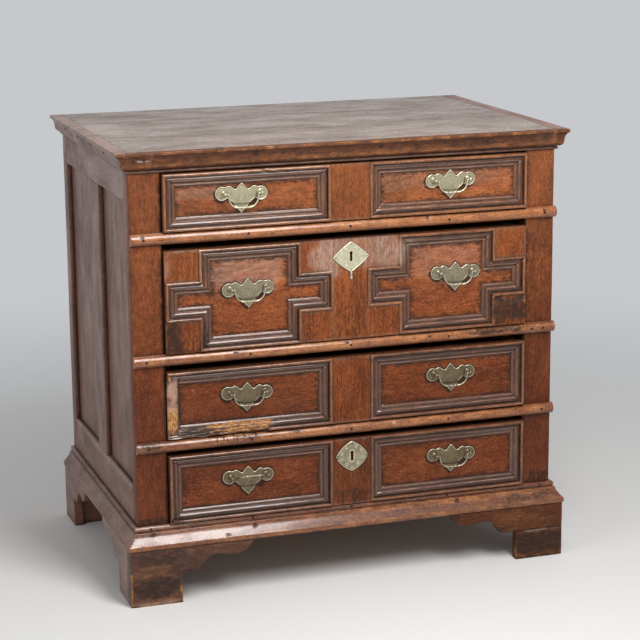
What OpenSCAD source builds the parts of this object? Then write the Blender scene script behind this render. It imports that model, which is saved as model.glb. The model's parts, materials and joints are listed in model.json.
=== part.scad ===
// Joined oak chest of four long drawers, on bracket feet.
// Each piece is drawn with x = 0 at the middle, y = 0 at the front face of the stiles and z = 0 at the floor.
// on_base() then moves it so that the origin is under the middle of the whole chest.

/* [Carcass] */
// Width over the stiles
case_w = 900; // [820:10:980]
// Depth from the front of the stiles to the back
case_d = 608; // [560:4:660]
// Width of a front stile, seen from the front
stile_w = 63.5; // [56:0.5:72]
// Thickness of a front stile, seen from the side
stile_t = 34; // [32:1:40]
// Width of a rear stile, seen from the back
rear_stile_w = 60; // [54:1:70]
// Thickness of a rear stile, seen from the side
rear_stile_t = 36; // [34:1:44]
// Thickness of the rails and muntins of the side frames
side_t = 26; // [24:1:30]
// Depth of the rails between the drawers
rail_d = 50; // [40:1:60]

/* [Heights] */
// Height of the feet, up to the plinth
foot_h = 118; // [90:1:150]
// Height of the front bottom rail above the feet
bottom_rail_h = 44; // [36:1:60]
// Height of the bottom drawer's opening
bottom_open_h = 150; // [140:1:180]
// Height of the third drawer's opening
third_open_h = 153; // [144:1:180]
// Height of the deep second drawer's opening
deep_open_h = 220; // [214:1:260]
// Height of the top drawer's opening
top_open_h = 117; // [112:1:150]
// Height of each rail between the drawers
rail_h = 24; // [20:1:30]
// Height of the top rail
top_rail_h = 19; // [16:1:26]
// Thickness of the top boards
top_t = 24; // [20:1:28]

/* [Side frames] */
// Height of the side top rail
side_top_rail_h = 78; // [60:1:100]
// Height of the side bottom rail
side_bottom_rail_h = 117; // [100:1:140]
// Width of the muntin between the two side panels
muntin_w = 78; // [60:1:100]
// How far the panels lie behind the face of the side frame
panel_recess = 10; // [6:1:12]
// Thickness of a panel
panel_t = 8; // [6:1:10]
// Depth of the grooves that hold the panels
panel_groove = 8; // [6:1:10]
// Bevel along the upper arris of the side bottom rail
rail_bevel = 3; // [1:0.5:5]
// Thickness of every tenon
tenon_t = 9; // [7:1:10]
// Length of the tenons on the front rails
front_tenon_l = 30; // [20:1:36]
// Length of the tenons on the side rails
side_tenon_l = 22; // [16:1:24]
// Height of the back rails
back_rail_h = 60; // [50:1:80]
// Thickness of the back boards
back_board_t = 10; // [8:1:12]
// Thickness of the back rails
back_rail_t = 26; // [22:1:34]
// Depth of the rebate that the back boards lie in
back_rebate = 12; // [8:1:16]

/* [Top] */
// Width of the front board of the top
top_front_board = 197; // [160:1:240]
// Width of the rear board of the top
top_rear_board = 180; // [150:1:220]
// Shrinkage gap between the boards of the top, the back and the drawer bottoms
board_gap = 0.6; // [0.3:0.1:2]

/* [Mouldings] */
// How far the cornice stands out at the sides
cornice_side = 27; // [20:1:32]
// How far the cornice stands out at the front
cornice_front_out = 18; // [14:1:26]
// Height of the cornice
cornice_h = 42; // [40:1:48]
// How far the plinth stands out
plinth_out = 25; // [20:1:32]
// How far the half-round mouldings stick out past the right-hand edge
half_round_over = 3; // [1:0.5:6]

/* [Feet] */
// How far the bracket boards lie behind the edge of the plinth
foot_inset = 2; // [0:0.5:4]
// Thickness of the bracket boards
bracket_t = 20; // [16:1:22]
// Width of the square block at the foot's corner
block_w = 107; // [90:1:125]
// Length of the scrolled arm beyond the block
scroll_l = 152; // [120:1:170]
// Share of the full length that the rear brackets have
rear_bracket_share = 0.83; // [0.7:0.01:0.9]
// Side of the square glue block inside each foot
glue_block = 56; // [48:1:62]
// Height of the replaced lower block on the front right foot, with feet of 118
patch_h = 63; // [50:1:63]

/* [Drawers] */
// Gap at each end of a drawer front
side_gap = 1.5; // [1:0.5:3]
// Gap above each drawer front, from the top drawer down
gap_above = [2, 13, 13, 9]; // [1:1:20]
// Gap below each drawer front, from the top drawer down
gap_below = [1, 1, 2, 1]; // [1:1:4]
// Thickness of the drawer fronts
front_t = 22; // [20:1:25]
// Thickness of the drawer sides
drawer_side_t = 18; // [16:1:20]
// Thickness of the drawer backs
drawer_back_t = 14; // [10:1:18]
// Thickness of the drawer bottoms
drawer_bottom_t = 9; // [7:1:12]
// Gap between the back of a drawer and the back rails
drawer_back_gap = 22; // [10:1:100]
// How far the drawer sides reach into the rebated ends of the front
side_lap = 12; // [8:1:14]
// Height of the drawer runners
runner_h = 19; // [14:1:24]
// Width of the drawer runners
runner_w = 28; // [22:1:34]
// Depth of the grooves in the drawer sides
runner_bite = 9; // [7:1:10]
// Length of the stubs that house the runners in the stiles
runner_stub = 8; // [5:1:10]
// Clearance between a runner and its groove
runner_clear = 0.3; // [0.2:0.1:0.6]

/* [Applied mouldings on the drawers] */
// Width of a moulding strip
strip_w = 27; // [24:1:30]
// How far the outer bead of a strip stands out
strip_h = 13; // [11:0.5:15]
// Radius of the outer bead
bead_r = 3.3; // [2.5:0.1:3.8]
// Width of the block between the two frames
centre_w = 82; // [70:1:100]
// How far the centre lies to the right of the middle
centre_shift = 1; // [-3:0.5:3]
// Thickness of the centre and corner blocks
block_t = 9; // [7:0.5:10]
// Width of the block between the arms of the two crosses
cross_gap = 72; // [60:1:100]
// How far the outer arms lie inside the ends of the front
cross_end = 1; // [0.5:0.5:6]
// How far the arms reach past the upright part of each cross
cross_arm_l = 68; // [50:1:90]
// Height of the arms of each cross
cross_arm_h = 80; // [70:1:100]

/* [Handles] */
// Distance between the two posts of a handle
post_span = 75; // [72:1:80]
// Height of the posts above the middle of the drawer front, from the top drawer down
post_rise = [11, 17, 14, 13]; // [0:1:25]
// Shift of the left handles from the middle of their frame, from the top drawer down
left_shift = [-10.5, -3, -6, -6.5]; // [-20:0.5:25]
// Shift of the right handles from the middle of their frame, from the top drawer down
right_shift = [5.5, 21, 8.5, 10.5]; // [-20:0.5:25]
// Thickness of the back plates and escutcheons
plate_t = 2; // [1.5:0.5:3]
// Distance from the drawer front to the axis of the bail
post_out = 17; // [16:0.5:22]
// Radius of the ball on each post
ball_r = 4.8; // [4.5:0.1:5.2]
// Radius of the post's shank
shank_r = 2.3; // [1.8:0.1:2.6]
// Radius of the bail's pivot pins
pin_r = 1.6; // [1.2:0.1:1.9]
// Clearance round each pivot pin
pin_clear = 0.05; // [0.03:0.01:0.1]
// Radius of the bail's rod
bail_r = 2.2; // [1.8:0.1:2.4]
// Drop of a bail from its axis to the middle of its knop
bail_drop = 24.6; // [23:0.2:27]
// Angle from hanging at which the left bail of the bottom drawer is held up
raised_angle = 113; // [90:1:120]

/* [Locks] */
// Distance from the top of a drawer front to the middle of its escutcheon
escutcheon_down = 37; // [34:1:44]
// Width of the escutcheon on the deep drawer
lozenge_w = 77; // [66:1:80]
// Height of the escutcheon on the deep drawer
lozenge_h = 63; // [56:1:66]
// Width of the escutcheon on the bottom drawer
rounded_w = 70; // [60:1:76]
// Height of the escutcheon on the bottom drawer
rounded_h = 64; // [56:1:66]
// Radius of the round top of the keyhole
keyhole_r = 3.3; // [2.8:0.1:4]
// Height of the keyhole from its foot to the centre of its round top
keyhole_l = 17; // [14:1:18]
// Width of the slot of the keyhole
keyhole_slot = 5; // [4:0.5:5.5]
// Width of the lock case
lock_w = 80; // [60:2:90]
// Height of the lock case
lock_h = 54; // [50:1:56]
// Thickness of the lock case
lock_t = 12; // [11:1:14]
// Width of the lock bolt
bolt_w = 26; // [20:1:30]
// Thickness of the lock bolt
bolt_t = 6; // [5:0.5:7]
// How far a bolt reaches into the rail when it is thrown
bolt_bite = 7; // [4:0.5:9]
// Gap round a lock bolt
bolt_clear = 0.6; // [0.4:0.1:1]

/* [Nails] */
// Radius of a nail's shank
nail_r = 1.3; // [1:0.1:1.6]
// Radius of a nail's head
nail_head_r = 2.5; // [2:0.1:3]
// Length of a nail
nail_l = 30; // [26:1:34]

/* [Hidden] */
$fn = 48;

oak = [0.44, 0.23, 0.13];
oak_worn = [0.55, 0.31, 0.18];
oak_side = [0.36, 0.25, 0.20];
oak_top = [0.46, 0.38, 0.33];
oak_bare = [0.66, 0.50, 0.34];
brass = [0.62, 0.58, 0.38];
iron = [0.20, 0.19, 0.18];

// How far a cutting shape passes the face that it cuts
eps = 1;
// Gap in the joints between pieces of one kind: boards side by side, mitres and butt joints
seam = 0.2;
half_w = case_w / 2;
open_half = half_w - stile_w;
bottom_rail_under = 6;
z_bottom = foot_h + bottom_rail_h;
z_third = z_bottom + bottom_open_h + rail_h;
z_deep = z_third + third_open_h + rail_h;
z_top = z_deep + deep_open_h + rail_h;
frame_top = z_top + top_open_h + top_rail_h;
case_h = frame_top + top_t;
// The plinth covers the front of the bottom rail; its bead stands out least, and an upright band ends it below
plinth_h = bottom_rail_h;
plinth_bead = 8;
plinth_band = 9;
// Openings and fronts from the top drawer down
open_z = [z_top, z_deep, z_third, z_bottom];
open_h = [top_open_h, deep_open_h, third_open_h, bottom_open_h];
rail_z = [for (i = [1:3]) open_z[i] + open_h[i]];
front_half = open_half - side_gap;
drawer_l = case_d - back_rail_t - drawer_back_gap;
function front_z(i) = open_z[i] + gap_below[i];
function front_h(i) = open_h[i] - gap_below[i] - gap_above[i];
function front_top(i) = front_z(i) + front_h(i);
function front_mid(i) = front_z(i) + front_h(i) / 2;

side_panel_z0 = foot_h + side_bottom_rail_h;
side_panel_z1 = frame_top - side_top_rail_h;
rear_front_y = case_d - rear_stile_t;
muntin_y = (stile_t + rear_front_y) / 2;
tenon_front_y = 12;
side_tenon_x = half_w - side_t / 2 - tenon_t / 2;
tenon_shoulder = 5;

// The bracket boards stand under the plinth, and the glue blocks lie against their inner faces
foot_out = plinth_out - foot_inset;
foot_x = half_w + foot_out;

// The drawer hangs on its runners, and the runner's outer edge bears on both stiles
runner_in = front_half - runner_bite + runner_clear;
side_z0 = drawer_bottom_t;
side_top_drop = 4;
function runner_z(i) = front_z(i) + side_z0 + (front_h(i) - side_z0 - side_top_drop - runner_h) / 2;

// Half the width of a cross over its arms and over its upright, and the distance of its centre from the middle
cross_a = (front_half - cross_end - cross_gap / 2) / 2;
cross_u = cross_a - cross_arm_l;
cross_x = cross_gap / 2 + cross_a;
// Centres of the left and right frames of a drawer, and of its handles
centre_left = centre_shift - centre_w / 2;
centre_right = centre_shift + centre_w / 2;
function frame_mid(i, s) = i == 1 ? s * cross_x : s < 0 ? (centre_left - front_half) / 2 : (centre_right + front_half) / 2;
function handle_x(i, s) = frame_mid(i, s) + (s < 0 ? left_shift[i] : right_shift[i]);
function handle_z(i) = front_mid(i) + post_rise[i];

knop_r = 4.2;
nut_t = 4;
// The raised bail is the frontmost point of the chest, unless a moulding stands out further
bail_reach = post_out + bail_drop * sin(raised_angle) + knop_r;
y_mid = (case_d - max(bail_reach, plinth_out, cornice_front_out)) / 2;

module on_base() translate([0, -y_mid, 0]) children();
module both_sides() {
    children();
    mirror([1, 0, 0]) children();
}
// Block from one corner to the other
module span(a, b) translate(a) cube(b - a);

// Points of an arc about c
function arc(c, r, a0, a1, n = 8) = [for (i = [0:n]) c + r * [cos(a0 + (a1 - a0) * i / n), sin(a0 + (a1 - a0) * i / n)]];
// Smooth curve through the points of p, with n steps between two of them
function smooth(p, n = 4) = concat([for (i = [0:len(p) - 2]) for (k = [0:n - 1])
    let (a = p[max(i - 1, 0)], b = p[i], c = p[i + 1], d = p[min(i + 2, len(p) - 1)], t = k / n)
    0.5 * (2 * b + (c - a) * t + (2 * a - 5 * b + 4 * c - d) * t * t + (3 * b - a - 3 * c + d) * t * t * t)],
    [p[len(p) - 1]]);
// Points of the edge from a to b, bulged outwards by h
function bulged(a, b, h, n = 8) = [for (i = [0:n - 1]) let (t = i / n, m = b - a, q = [m[1], -m[0]] / norm(m))
    a + m * t + q * h * 4 * t * (1 - t)];

// Moulding of which profile's x stands out and y is the height, along +X from 0 to l, standing out towards -Y
module run(l, profile) rotate([90, 0, 90]) linear_extrude(l) polygon([for (p = profile) [-p[0], p[1]]]);

// Nail driven from the face at p into the wood, in direction +Y
module nail(p) translate(p) rotate([-90, 0, 0]) {
    cylinder(h = nail_l, r = nail_r, $fn = 16);
    cylinder(h = 1, r = nail_head_r, $fn = 16);
}
module nail_in(p, s) translate(p) rotate([0, s * 90, 0]) {
    cylinder(h = nail_l, r = nail_r, $fn = 16);
    cylinder(h = 1, r = nail_head_r, $fn = 16);
}

// Nails, by the moulding that they hold
half_round_r = rail_h / 2;
cornice_nail_z = case_h - 15;
cornice_nail_share = 0.72;
plinth_nail_z = foot_h + plinth_h - 5;
plinth_nail_out = plinth_bead + 0.2;
module rail_moulding_nails() for (z = rail_z) for (k = [-2:2]) nail([k * (half_w - 24) / 2, -half_round_r, z + half_round_r]);
module cornice_front_nails() for (k = [-1.5:1.5]) nail([k * (half_w - 30) / 1.5, -cornice_front_out * cornice_nail_share, cornice_nail_z]);
module plinth_front_nails() for (k = [-2:2]) nail([k * (half_w - 24) / 2, -plinth_nail_out, plinth_nail_z]);
module cornice_side_nails() for (k = [1:4]) nail_in([half_w + cornice_side * cornice_nail_share, case_d * k / 5, cornice_nail_z], -1);
module plinth_side_nails() for (k = [1:4]) nail_in([half_w + plinth_nail_out, case_d * k / 5, plinth_nail_z], -1);
back_nail_z = [foot_h + back_rail_h - back_rebate / 2, frame_top - back_rail_h + back_rebate / 2];
module back_board_nails() for (z = back_nail_z) for (k = [-2:2])
    translate([k * (half_w - rear_stile_w) / 2.5, case_d, z]) rotate([90, 0, 0]) {
        cylinder(h = back_board_t + 12, r = nail_r, $fn = 16);
        cylinder(h = 1, r = nail_head_r, $fn = 16);
    }
module nails() color(iron) on_base() {
    rail_moulding_nails();
    cornice_front_nails();
    plinth_front_nails();
    both_sides() {
        cornice_side_nails();
        plinth_side_nails();
    }
    back_board_nails();
}

// Rail across the front with a tenon at each end; shoulders tell how much lower the tenon is at its foot and head
module front_rail(z, h, d, foot = 0, head = 0) {
    span([-open_half, 0, z], [open_half, d, z + h]);
    both_sides() span([open_half - eps, tenon_front_y, z + foot],
        [open_half + front_tenon_l, tenon_front_y + tenon_t, z + h - head]);
}
module top_rail_blank() front_rail(frame_top - top_rail_h, top_rail_h, rail_d);
module bottom_rail_blank() front_rail(foot_h - bottom_rail_under, bottom_rail_h + bottom_rail_under, stile_t,
    foot = bottom_rail_under + tenon_shoulder);
module drawer_rail_blanks() for (z = rail_z) front_rail(z, rail_h, rail_d);
// Mortise over each lock bolt
module bolt_mortises() for (i = [1, 3])
    translate([centre_shift - bolt_w / 2 - bolt_clear, front_t + bolt_y - bolt_clear, open_z[i] + open_h[i] - eps])
        cube([bolt_w + 2 * bolt_clear, bolt_t + 2 * bolt_clear, bolt_bite + eps + 1.5]);

module top_rail() color(oak) on_base() top_rail_blank();
module bottom_rail() color(oak_worn) on_base() difference() {
    bottom_rail_blank();
    plinth_front_nails();
}
module drawer_rails() color(oak) on_base() difference() {
    drawer_rail_blanks();
    rail_moulding_nails();
    bolt_mortises();
}

// Side frame, on the right
module side_rail(z0, z1, tenon_z0, tenon_z1) {
    span([half_w - side_t, stile_t, z0], [half_w, rear_front_y, z1]);
    span([side_tenon_x, stile_t - side_tenon_l, tenon_z0],
        [side_tenon_x + tenon_t, rear_front_y + side_tenon_l, tenon_z1]);
}
module side_top_rail_blank() side_rail(side_panel_z1, frame_top, side_panel_z1 + panel_groove + tenon_shoulder,
    frame_top - tenon_shoulder);
module side_bottom_rail_blank() side_rail(foot_h, side_panel_z0, foot_h + tenon_shoulder,
    side_panel_z0 - panel_groove - tenon_shoulder);
module muntin_blank() {
    span([half_w - side_t, muntin_y - muntin_w / 2, side_panel_z0], [half_w, muntin_y + muntin_w / 2, side_panel_z1]);
    span([side_tenon_x, muntin_y - muntin_w / 2 + panel_groove + tenon_shoulder, side_panel_z0 - side_tenon_l],
        [side_tenon_x + tenon_t, muntin_y + muntin_w / 2 - panel_groove - tenon_shoulder, side_panel_z1 + side_tenon_l]);
}
module panel(y0, y1) span([half_w - panel_recess - panel_t, y0 - panel_groove, side_panel_z0 - panel_groove],
    [half_w - panel_recess, y1 + panel_groove, side_panel_z1 + panel_groove]);
module panel_pair() {
    panel(stile_t, muntin_y - muntin_w / 2);
    panel(muntin_y + muntin_w / 2, rear_front_y);
}
module side_panels() color(oak_side) on_base() both_sides() panel_pair();
module side_top_rails() color(oak_side) on_base() both_sides() difference() {
    side_top_rail_blank();
    panel_pair();
    muntin_blank();
    cornice_side_nails();
}
module side_bottom_rails() color(oak_side) on_base() both_sides() difference() {
    side_bottom_rail_blank();
    panel_pair();
    muntin_blank();
    plinth_side_nails();
    translate([half_w, 0, side_panel_z0]) rotate([0, 45, 0])
        cube([rail_bevel * sqrt(2), 2 * case_d, rail_bevel * sqrt(2)], center = true);
}
module side_muntins() color(oak_side) on_base() both_sides() difference() {
    muntin_blank();
    panel_pair();
}

// Drawer runners, housed in the stiles by their stubs
module runner_pair(i) both_sides() translate([0, 0, runner_z(i)]) {
    span([runner_in, stile_t, 0], [runner_in + runner_w, rear_front_y, runner_h]);
    span([runner_in + runner_w - 12, stile_t - runner_stub, 3],
        [runner_in + runner_w - 2, rear_front_y + runner_stub, runner_h - 3]);
}
module drawer_runners() color(oak_bare) on_base() for (i = [0:3]) runner_pair(i);

module front_stile() difference() {
    span([open_half, 0, foot_h], [half_w, stile_t, frame_top]);
    top_rail_blank();
    bottom_rail_blank();
    drawer_rail_blanks();
    side_top_rail_blank();
    side_bottom_rail_blank();
    panel_pair();
    for (i = [0:3]) runner_pair(i);
    rail_moulding_nails();
    cornice_front_nails();
    plinth_front_nails();
}
module front_stile_right() color(oak) on_base() front_stile();
module front_stile_left() color(oak) on_base() mirror([1, 0, 0]) front_stile();

// Back of the carcass
back_tenon_l = 25;
module back_rail(z) {
    span([rear_stile_w - half_w, case_d - back_rail_t, z], [half_w - rear_stile_w, case_d, z + back_rail_h]);
    both_sides() span([half_w - rear_stile_w - eps, case_d - back_rail_t + 4, z + tenon_shoulder],
        [half_w - rear_stile_w + back_tenon_l, case_d - back_rail_t + 4 + tenon_t, z + back_rail_h - tenon_shoulder]);
}
module back_rail_pair() {
    back_rail(foot_h);
    back_rail(frame_top - back_rail_h);
}
back_z0 = foot_h + back_rail_h - back_rebate;
back_z1 = frame_top - back_rail_h + back_rebate;
back_boards_n = 3;
module back_board_set() for (k = [0:back_boards_n - 1]) let (h = (back_z1 - back_z0) / back_boards_n)
    span([rear_stile_w - back_rebate - half_w, case_d - back_board_t, back_z0 + k * h + (k > 0 ? board_gap : 0)],
        [half_w - rear_stile_w + back_rebate, case_d, back_z0 + (k + 1) * h]);
module back_rails() color(oak_side) on_base() difference() {
    back_rail_pair();
    back_board_set();
    back_board_nails();
}
module back_boards() color(oak_side) on_base() difference() {
    back_board_set();
    back_board_nails();
}
module rear_stiles() color(oak_side) on_base() both_sides() difference() {
    span([half_w - rear_stile_w, rear_front_y, foot_h], [half_w, case_d, frame_top]);
    side_top_rail_blank();
    side_bottom_rail_blank();
    panel_pair();
    back_rail_pair();
    back_board_set();
    for (i = [0:3]) runner_pair(i);
}

// Three boards along the top
module top_boards() color(oak_top) on_base() difference() {
    for (y = [[0, top_front_board], [top_front_board + board_gap, case_d - top_rear_board - board_gap],
        [case_d - top_rear_board, case_d]]) span([-half_w, y[0], frame_top], [half_w, y[1], case_h]);
    cornice_front_nails();
    both_sides() cornice_side_nails();
}

// Cornice: fillet, hollow, ovolo and a small astragal; out is how far it stands out at the top
function cornice_profile(out) = concat([[0, 0], [out, 0], [out, -6], [out * 0.82, -9]],
    [for (t = [0.2:0.2:1]) [out * (0.82 - 0.18 * sin(90 * t)), -9 - 11 * t]],
    [for (t = [0.1:0.1:1]) [out * (0.2 + 0.4 * cos(90 * t)), -27 - 8 * sin(90 * t)]],
    arc([out * 0.08, 3 - cornice_h], 3, 75, -90, 6), [[0, -cornice_h]]);
module cornice_bar(out, l) translate([0, 0, case_h]) run(l, cornice_profile(out));
module cornice_front() color(oak_worn) on_base() difference() {
    intersection() {
        translate([-half_w - cornice_side, 0, 0]) cornice_bar(cornice_front_out, 2 * (half_w + cornice_side));
        linear_extrude(2 * case_h) polygon([[-half_w, 0], [-half_w - cornice_side, -cornice_front_out],
            [half_w + cornice_side, -cornice_front_out], [half_w, 0]]);
    }
    cornice_front_nails();
}
module cornice_return() difference() {
    intersection() {
        translate([half_w, -cornice_front_out, 0]) rotate([0, 0, 90])
            cornice_bar(cornice_side, case_d + cornice_front_out);
        linear_extrude(2 * case_h) polygon([[half_w, 0], [half_w + cornice_side, -cornice_front_out],
            [half_w + cornice_side, case_d], [half_w, case_d]]);
    }
    cornice_side_nails();
}
module cornice_right() color(oak_side) on_base() cornice_return();
module cornice_left() color(oak_side) on_base() mirror([1, 0, 0]) cornice_return();

// Half-round mouldings over the rails between the drawers
module rail_mouldings() color(oak_worn) on_base() difference() {
    for (z = rail_z) translate([-half_w, 0, z + half_round_r])
        run(case_w + half_round_over, arc([0, 0], half_round_r, -90, 90, 24));
    rail_moulding_nails();
}

// Plinth: bead, groove, long hollow slope and an upright band
function plinth_profile() = concat([[0, 0], [plinth_bead - 5, 0]], arc([plinth_bead - 5, -5], 5, 75, 0, 5),
    [[plinth_bead, -8], [6.6, -9.4], [6.6, -11], [10.5, -12], [11, -15]],
    [for (t = [0.125:0.125:1]) [11 + (plinth_out - 11) * pow(t, 1.35), -15 - (plinth_h - plinth_band - 15) * t]],
    [[plinth_out, -plinth_h], [0, -plinth_h]]);
module plinth_bar(l) translate([0, 0, foot_h + plinth_h]) run(l, plinth_profile());
module plinth_front() color(oak_worn) on_base() difference() {
    intersection() {
        translate([-half_w - plinth_out, 0, 0]) plinth_bar(2 * (half_w + plinth_out));
        linear_extrude(case_h) polygon([[-half_w, 0], [-half_w - plinth_out, -plinth_out],
            [half_w + plinth_out, -plinth_out], [half_w, 0]]);
    }
    plinth_front_nails();
}
module plinth_return() difference() {
    intersection() {
        translate([half_w, -plinth_out, 0]) rotate([0, 0, 90]) plinth_bar(case_d + plinth_out);
        linear_extrude(case_h) polygon([[half_w, 0], [half_w + plinth_out, -plinth_out],
            [half_w + plinth_out, case_d], [half_w, case_d]]);
    }
    plinth_side_nails();
}
module plinth_right() color(oak_worn) on_base() plinth_return();
module plinth_left() color(oak_side) on_base() mirror([1, 0, 0]) plinth_return();

// Outline of a bracket from the outer corner of the foot inwards
ledge = 34;
function scroll(share) = let (b = block_w * share, s = scroll_l * share, h = foot_h / 118)
    concat([[0, 0], [b, 0], [b, 58 * h], [b + 2, 64 * h], [b + ledge * share, 63 * h]],
        smooth([for (p = [[0.27, 71], [0.3, 78], [0.38, 90], [0.48, 94], [0.6, 91], [0.75, 88], [0.87, 93], [0.94, 104], [1, 118]])
            [b + s * p[0], p[1] * h]], 3), [[0, foot_h]]);
// Board along the front from x = foot_x inwards, mitred at the corner
module front_bracket() intersection() {
    translate([foot_x, bracket_t - foot_out, 0]) rotate([90, 0, 0]) linear_extrude(bracket_t)
        polygon([for (p = scroll(1)) [-p[0], p[1]]]);
    linear_extrude(foot_h) polygon([[foot_x - seam, -foot_out], [foot_x - seam - bracket_t, bracket_t - foot_out],
        [0, bracket_t - foot_out], [0, -foot_out]]);
}
// Board along the side, from a corner of the foot towards +Y
module side_bracket(share) translate([foot_x - bracket_t, 0, 0]) rotate([90, 0, 90]) linear_extrude(bracket_t)
    polygon(scroll(share));
module front_side_bracket() intersection() {
    translate([0, -foot_out, 0]) side_bracket(1);
    linear_extrude(foot_h) polygon([[foot_x, seam - foot_out], [foot_x, case_d / 2], [foot_x - bracket_t, case_d / 2],
        [foot_x - bracket_t, bracket_t + seam - foot_out]]);
}
module glue_block_at(y) span([foot_x - bracket_t - seam - glue_block, y, 0],
    [foot_x - bracket_t - seam, y + glue_block, foot_h]);
module front_glue_block() glue_block_at(bracket_t + seam - foot_out);
rear_board_l = 100;
module rear_foot() {
    translate([0, case_d, 0]) mirror([0, 1, 0]) side_bracket(rear_bracket_share);
    span([foot_x - bracket_t - seam - rear_board_l, case_d - bracket_t, 0],
        [foot_x - bracket_t - seam, case_d, foot_h]);
    glue_block_at(case_d - bracket_t - seam - glue_block);
}
module foot_front_left() color(oak_worn) on_base() mirror([1, 0, 0]) {
    front_bracket();
    front_side_bracket();
    front_glue_block();
}
// The front right foot has a new lower block on its front board, below a level joint
patch_gap = 0.5;
module below(z) span([0, -case_d, -eps], [case_w, case_d, z]);
module foot_front_right() color(oak) on_base() {
    difference() {
        front_bracket();
        below(patch_h * foot_h / 118 + patch_gap);
    }
    intersection() {
        front_bracket();
        below(patch_h * foot_h / 118);
    }
    front_side_bracket();
    front_glue_block();
}
module foot_rear_left() color(oak_side) on_base() mirror([1, 0, 0]) rear_foot();
module foot_rear_right() color(oak_side) on_base() rear_foot();

// Drawer i, from 0 at the top to 3 at the bottom
bolt_y = 3;
function keyhole_x() = centre_shift;
function escutcheon_z(i) = front_top(i) - escutcheon_down;
keyhole_rise = 8;
module keyhole(i) translate([keyhole_x(), 0, escutcheon_z(i) + keyhole_rise]) {
    translate([0, -block_t - plate_t - eps, 0]) rotate([-90, 0, 0])
        cylinder(h = block_t + plate_t + front_t + 2 * eps, r = keyhole_r);
    translate([-keyhole_slot / 2, -block_t - plate_t - eps, -keyhole_l])
        cube([keyhole_slot, block_t + plate_t + front_t + 2 * eps, keyhole_l]);
}
module shank_holes(i) for (s = [-1, 1]) for (k = [-1, 1])
    translate([handle_x(i, s) + k * post_span / 2, -plate_t - eps, handle_z(i)]) rotate([-90, 0, 0])
        cylinder(h = plate_t + front_t + 2 * eps, r = shank_r + 0.2, $fn = 24);
module drawer_front(i) color(oak) on_base() difference() {
    span([-front_half, 0, front_z(i)], [front_half, front_t, front_top(i)]);
    both_sides() span([front_half - drawer_side_t, front_t - side_lap, front_z(i) - eps],
        [front_half + eps, front_t + eps, front_top(i) + eps]);
    span([-front_half - eps, front_t - side_lap, front_z(i) - eps],
        [front_half + eps, front_t + eps, front_z(i) + drawer_bottom_t]);
    shank_holes(i);
    if (i == 1 || i == 3) keyhole(i);
}
module drawer_box(i) color(oak_bare) on_base() let (z0 = front_z(i) + side_z0, z1 = front_top(i) - side_top_drop) {
    both_sides() difference() {
        span([front_half - drawer_side_t, front_t - side_lap, z0], [front_half, drawer_l, z1]);
        span([front_half - runner_bite, stile_t - runner_clear, runner_z(i) - 2],
            [front_half + eps, drawer_l + eps, runner_z(i) + runner_h + runner_clear]);
    }
    span([drawer_side_t + seam - front_half, drawer_l - drawer_back_t, z0],
        [front_half - drawer_side_t - seam, drawer_l, z1]);
}
bottom_boards_n = 3;
module drawer_bottom(i) color(oak_bare) on_base() for (k = [0:bottom_boards_n - 1]) let (w = 2 * front_half / bottom_boards_n)
    span([k * w - front_half + (k > 0 ? board_gap : 0), front_t - side_lap, front_z(i)],
        [(k + 1) * w - front_half, drawer_l, front_z(i) + drawer_bottom_t]);

// Moulding strip: rounded outer bead, step, broad slope and three fine reeds down to the field
reed_r = 1.4;
step_h = 5.6;
slope_h = 7.8;
strip_profile = concat([[0, 0]], arc([bead_r, strip_h - bead_r], bead_r, 180, 0), [[2 * bead_r, step_h], [10, step_h],
    [10.6, slope_h], [strip_w - 6 * reed_r, 4]],
    [for (k = [2:-1:0]) each arc([strip_w - (2 * k + 1) * reed_r, 0.8 + 0.8 * k], reed_r, 170, 10, 4)], [[strip_w, 0]]);
module strip_bar(l) rotate([90, 0, 90]) linear_extrude(l) polygon(strip_profile);
// Mitred strips inside the closed path p, which runs anticlockwise; they stand out towards -Y
module mitred_frame(p) rotate([90, 0, 0]) for (i = [0:len(p) - 1]) {
    n = len(p);
    a = p[i];
    b = p[(i + 1) % n];
    dir = (b - a) / norm(b - a);
    before = (a - p[(i + n - 1) % n]) / norm(a - p[(i + n - 1) % n]);
    after = (p[(i + 2) % n] - b) / norm(p[(i + 2) % n] - b);
    left = [-dir[1], dir[0]];
    intersection() {
        translate([a[0], a[1], 0]) rotate([0, 0, atan2(dir[1], dir[0])]) translate([-strip_w, 0, 0])
            strip_bar(norm(b - a) + 2 * strip_w);
        linear_extrude(strip_h + eps) polygon([a + seam * dir, b - seam * dir,
            b - seam * dir + strip_w * (left + [-after[1], after[0]]),
            a + seam * dir + strip_w * (left + [-before[1], before[0]])]);
    }
}
function oblong(x0, z0, x1, z1) = [[x0, z0], [x1, z0], [x1, z1], [x0, z1]];
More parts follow.
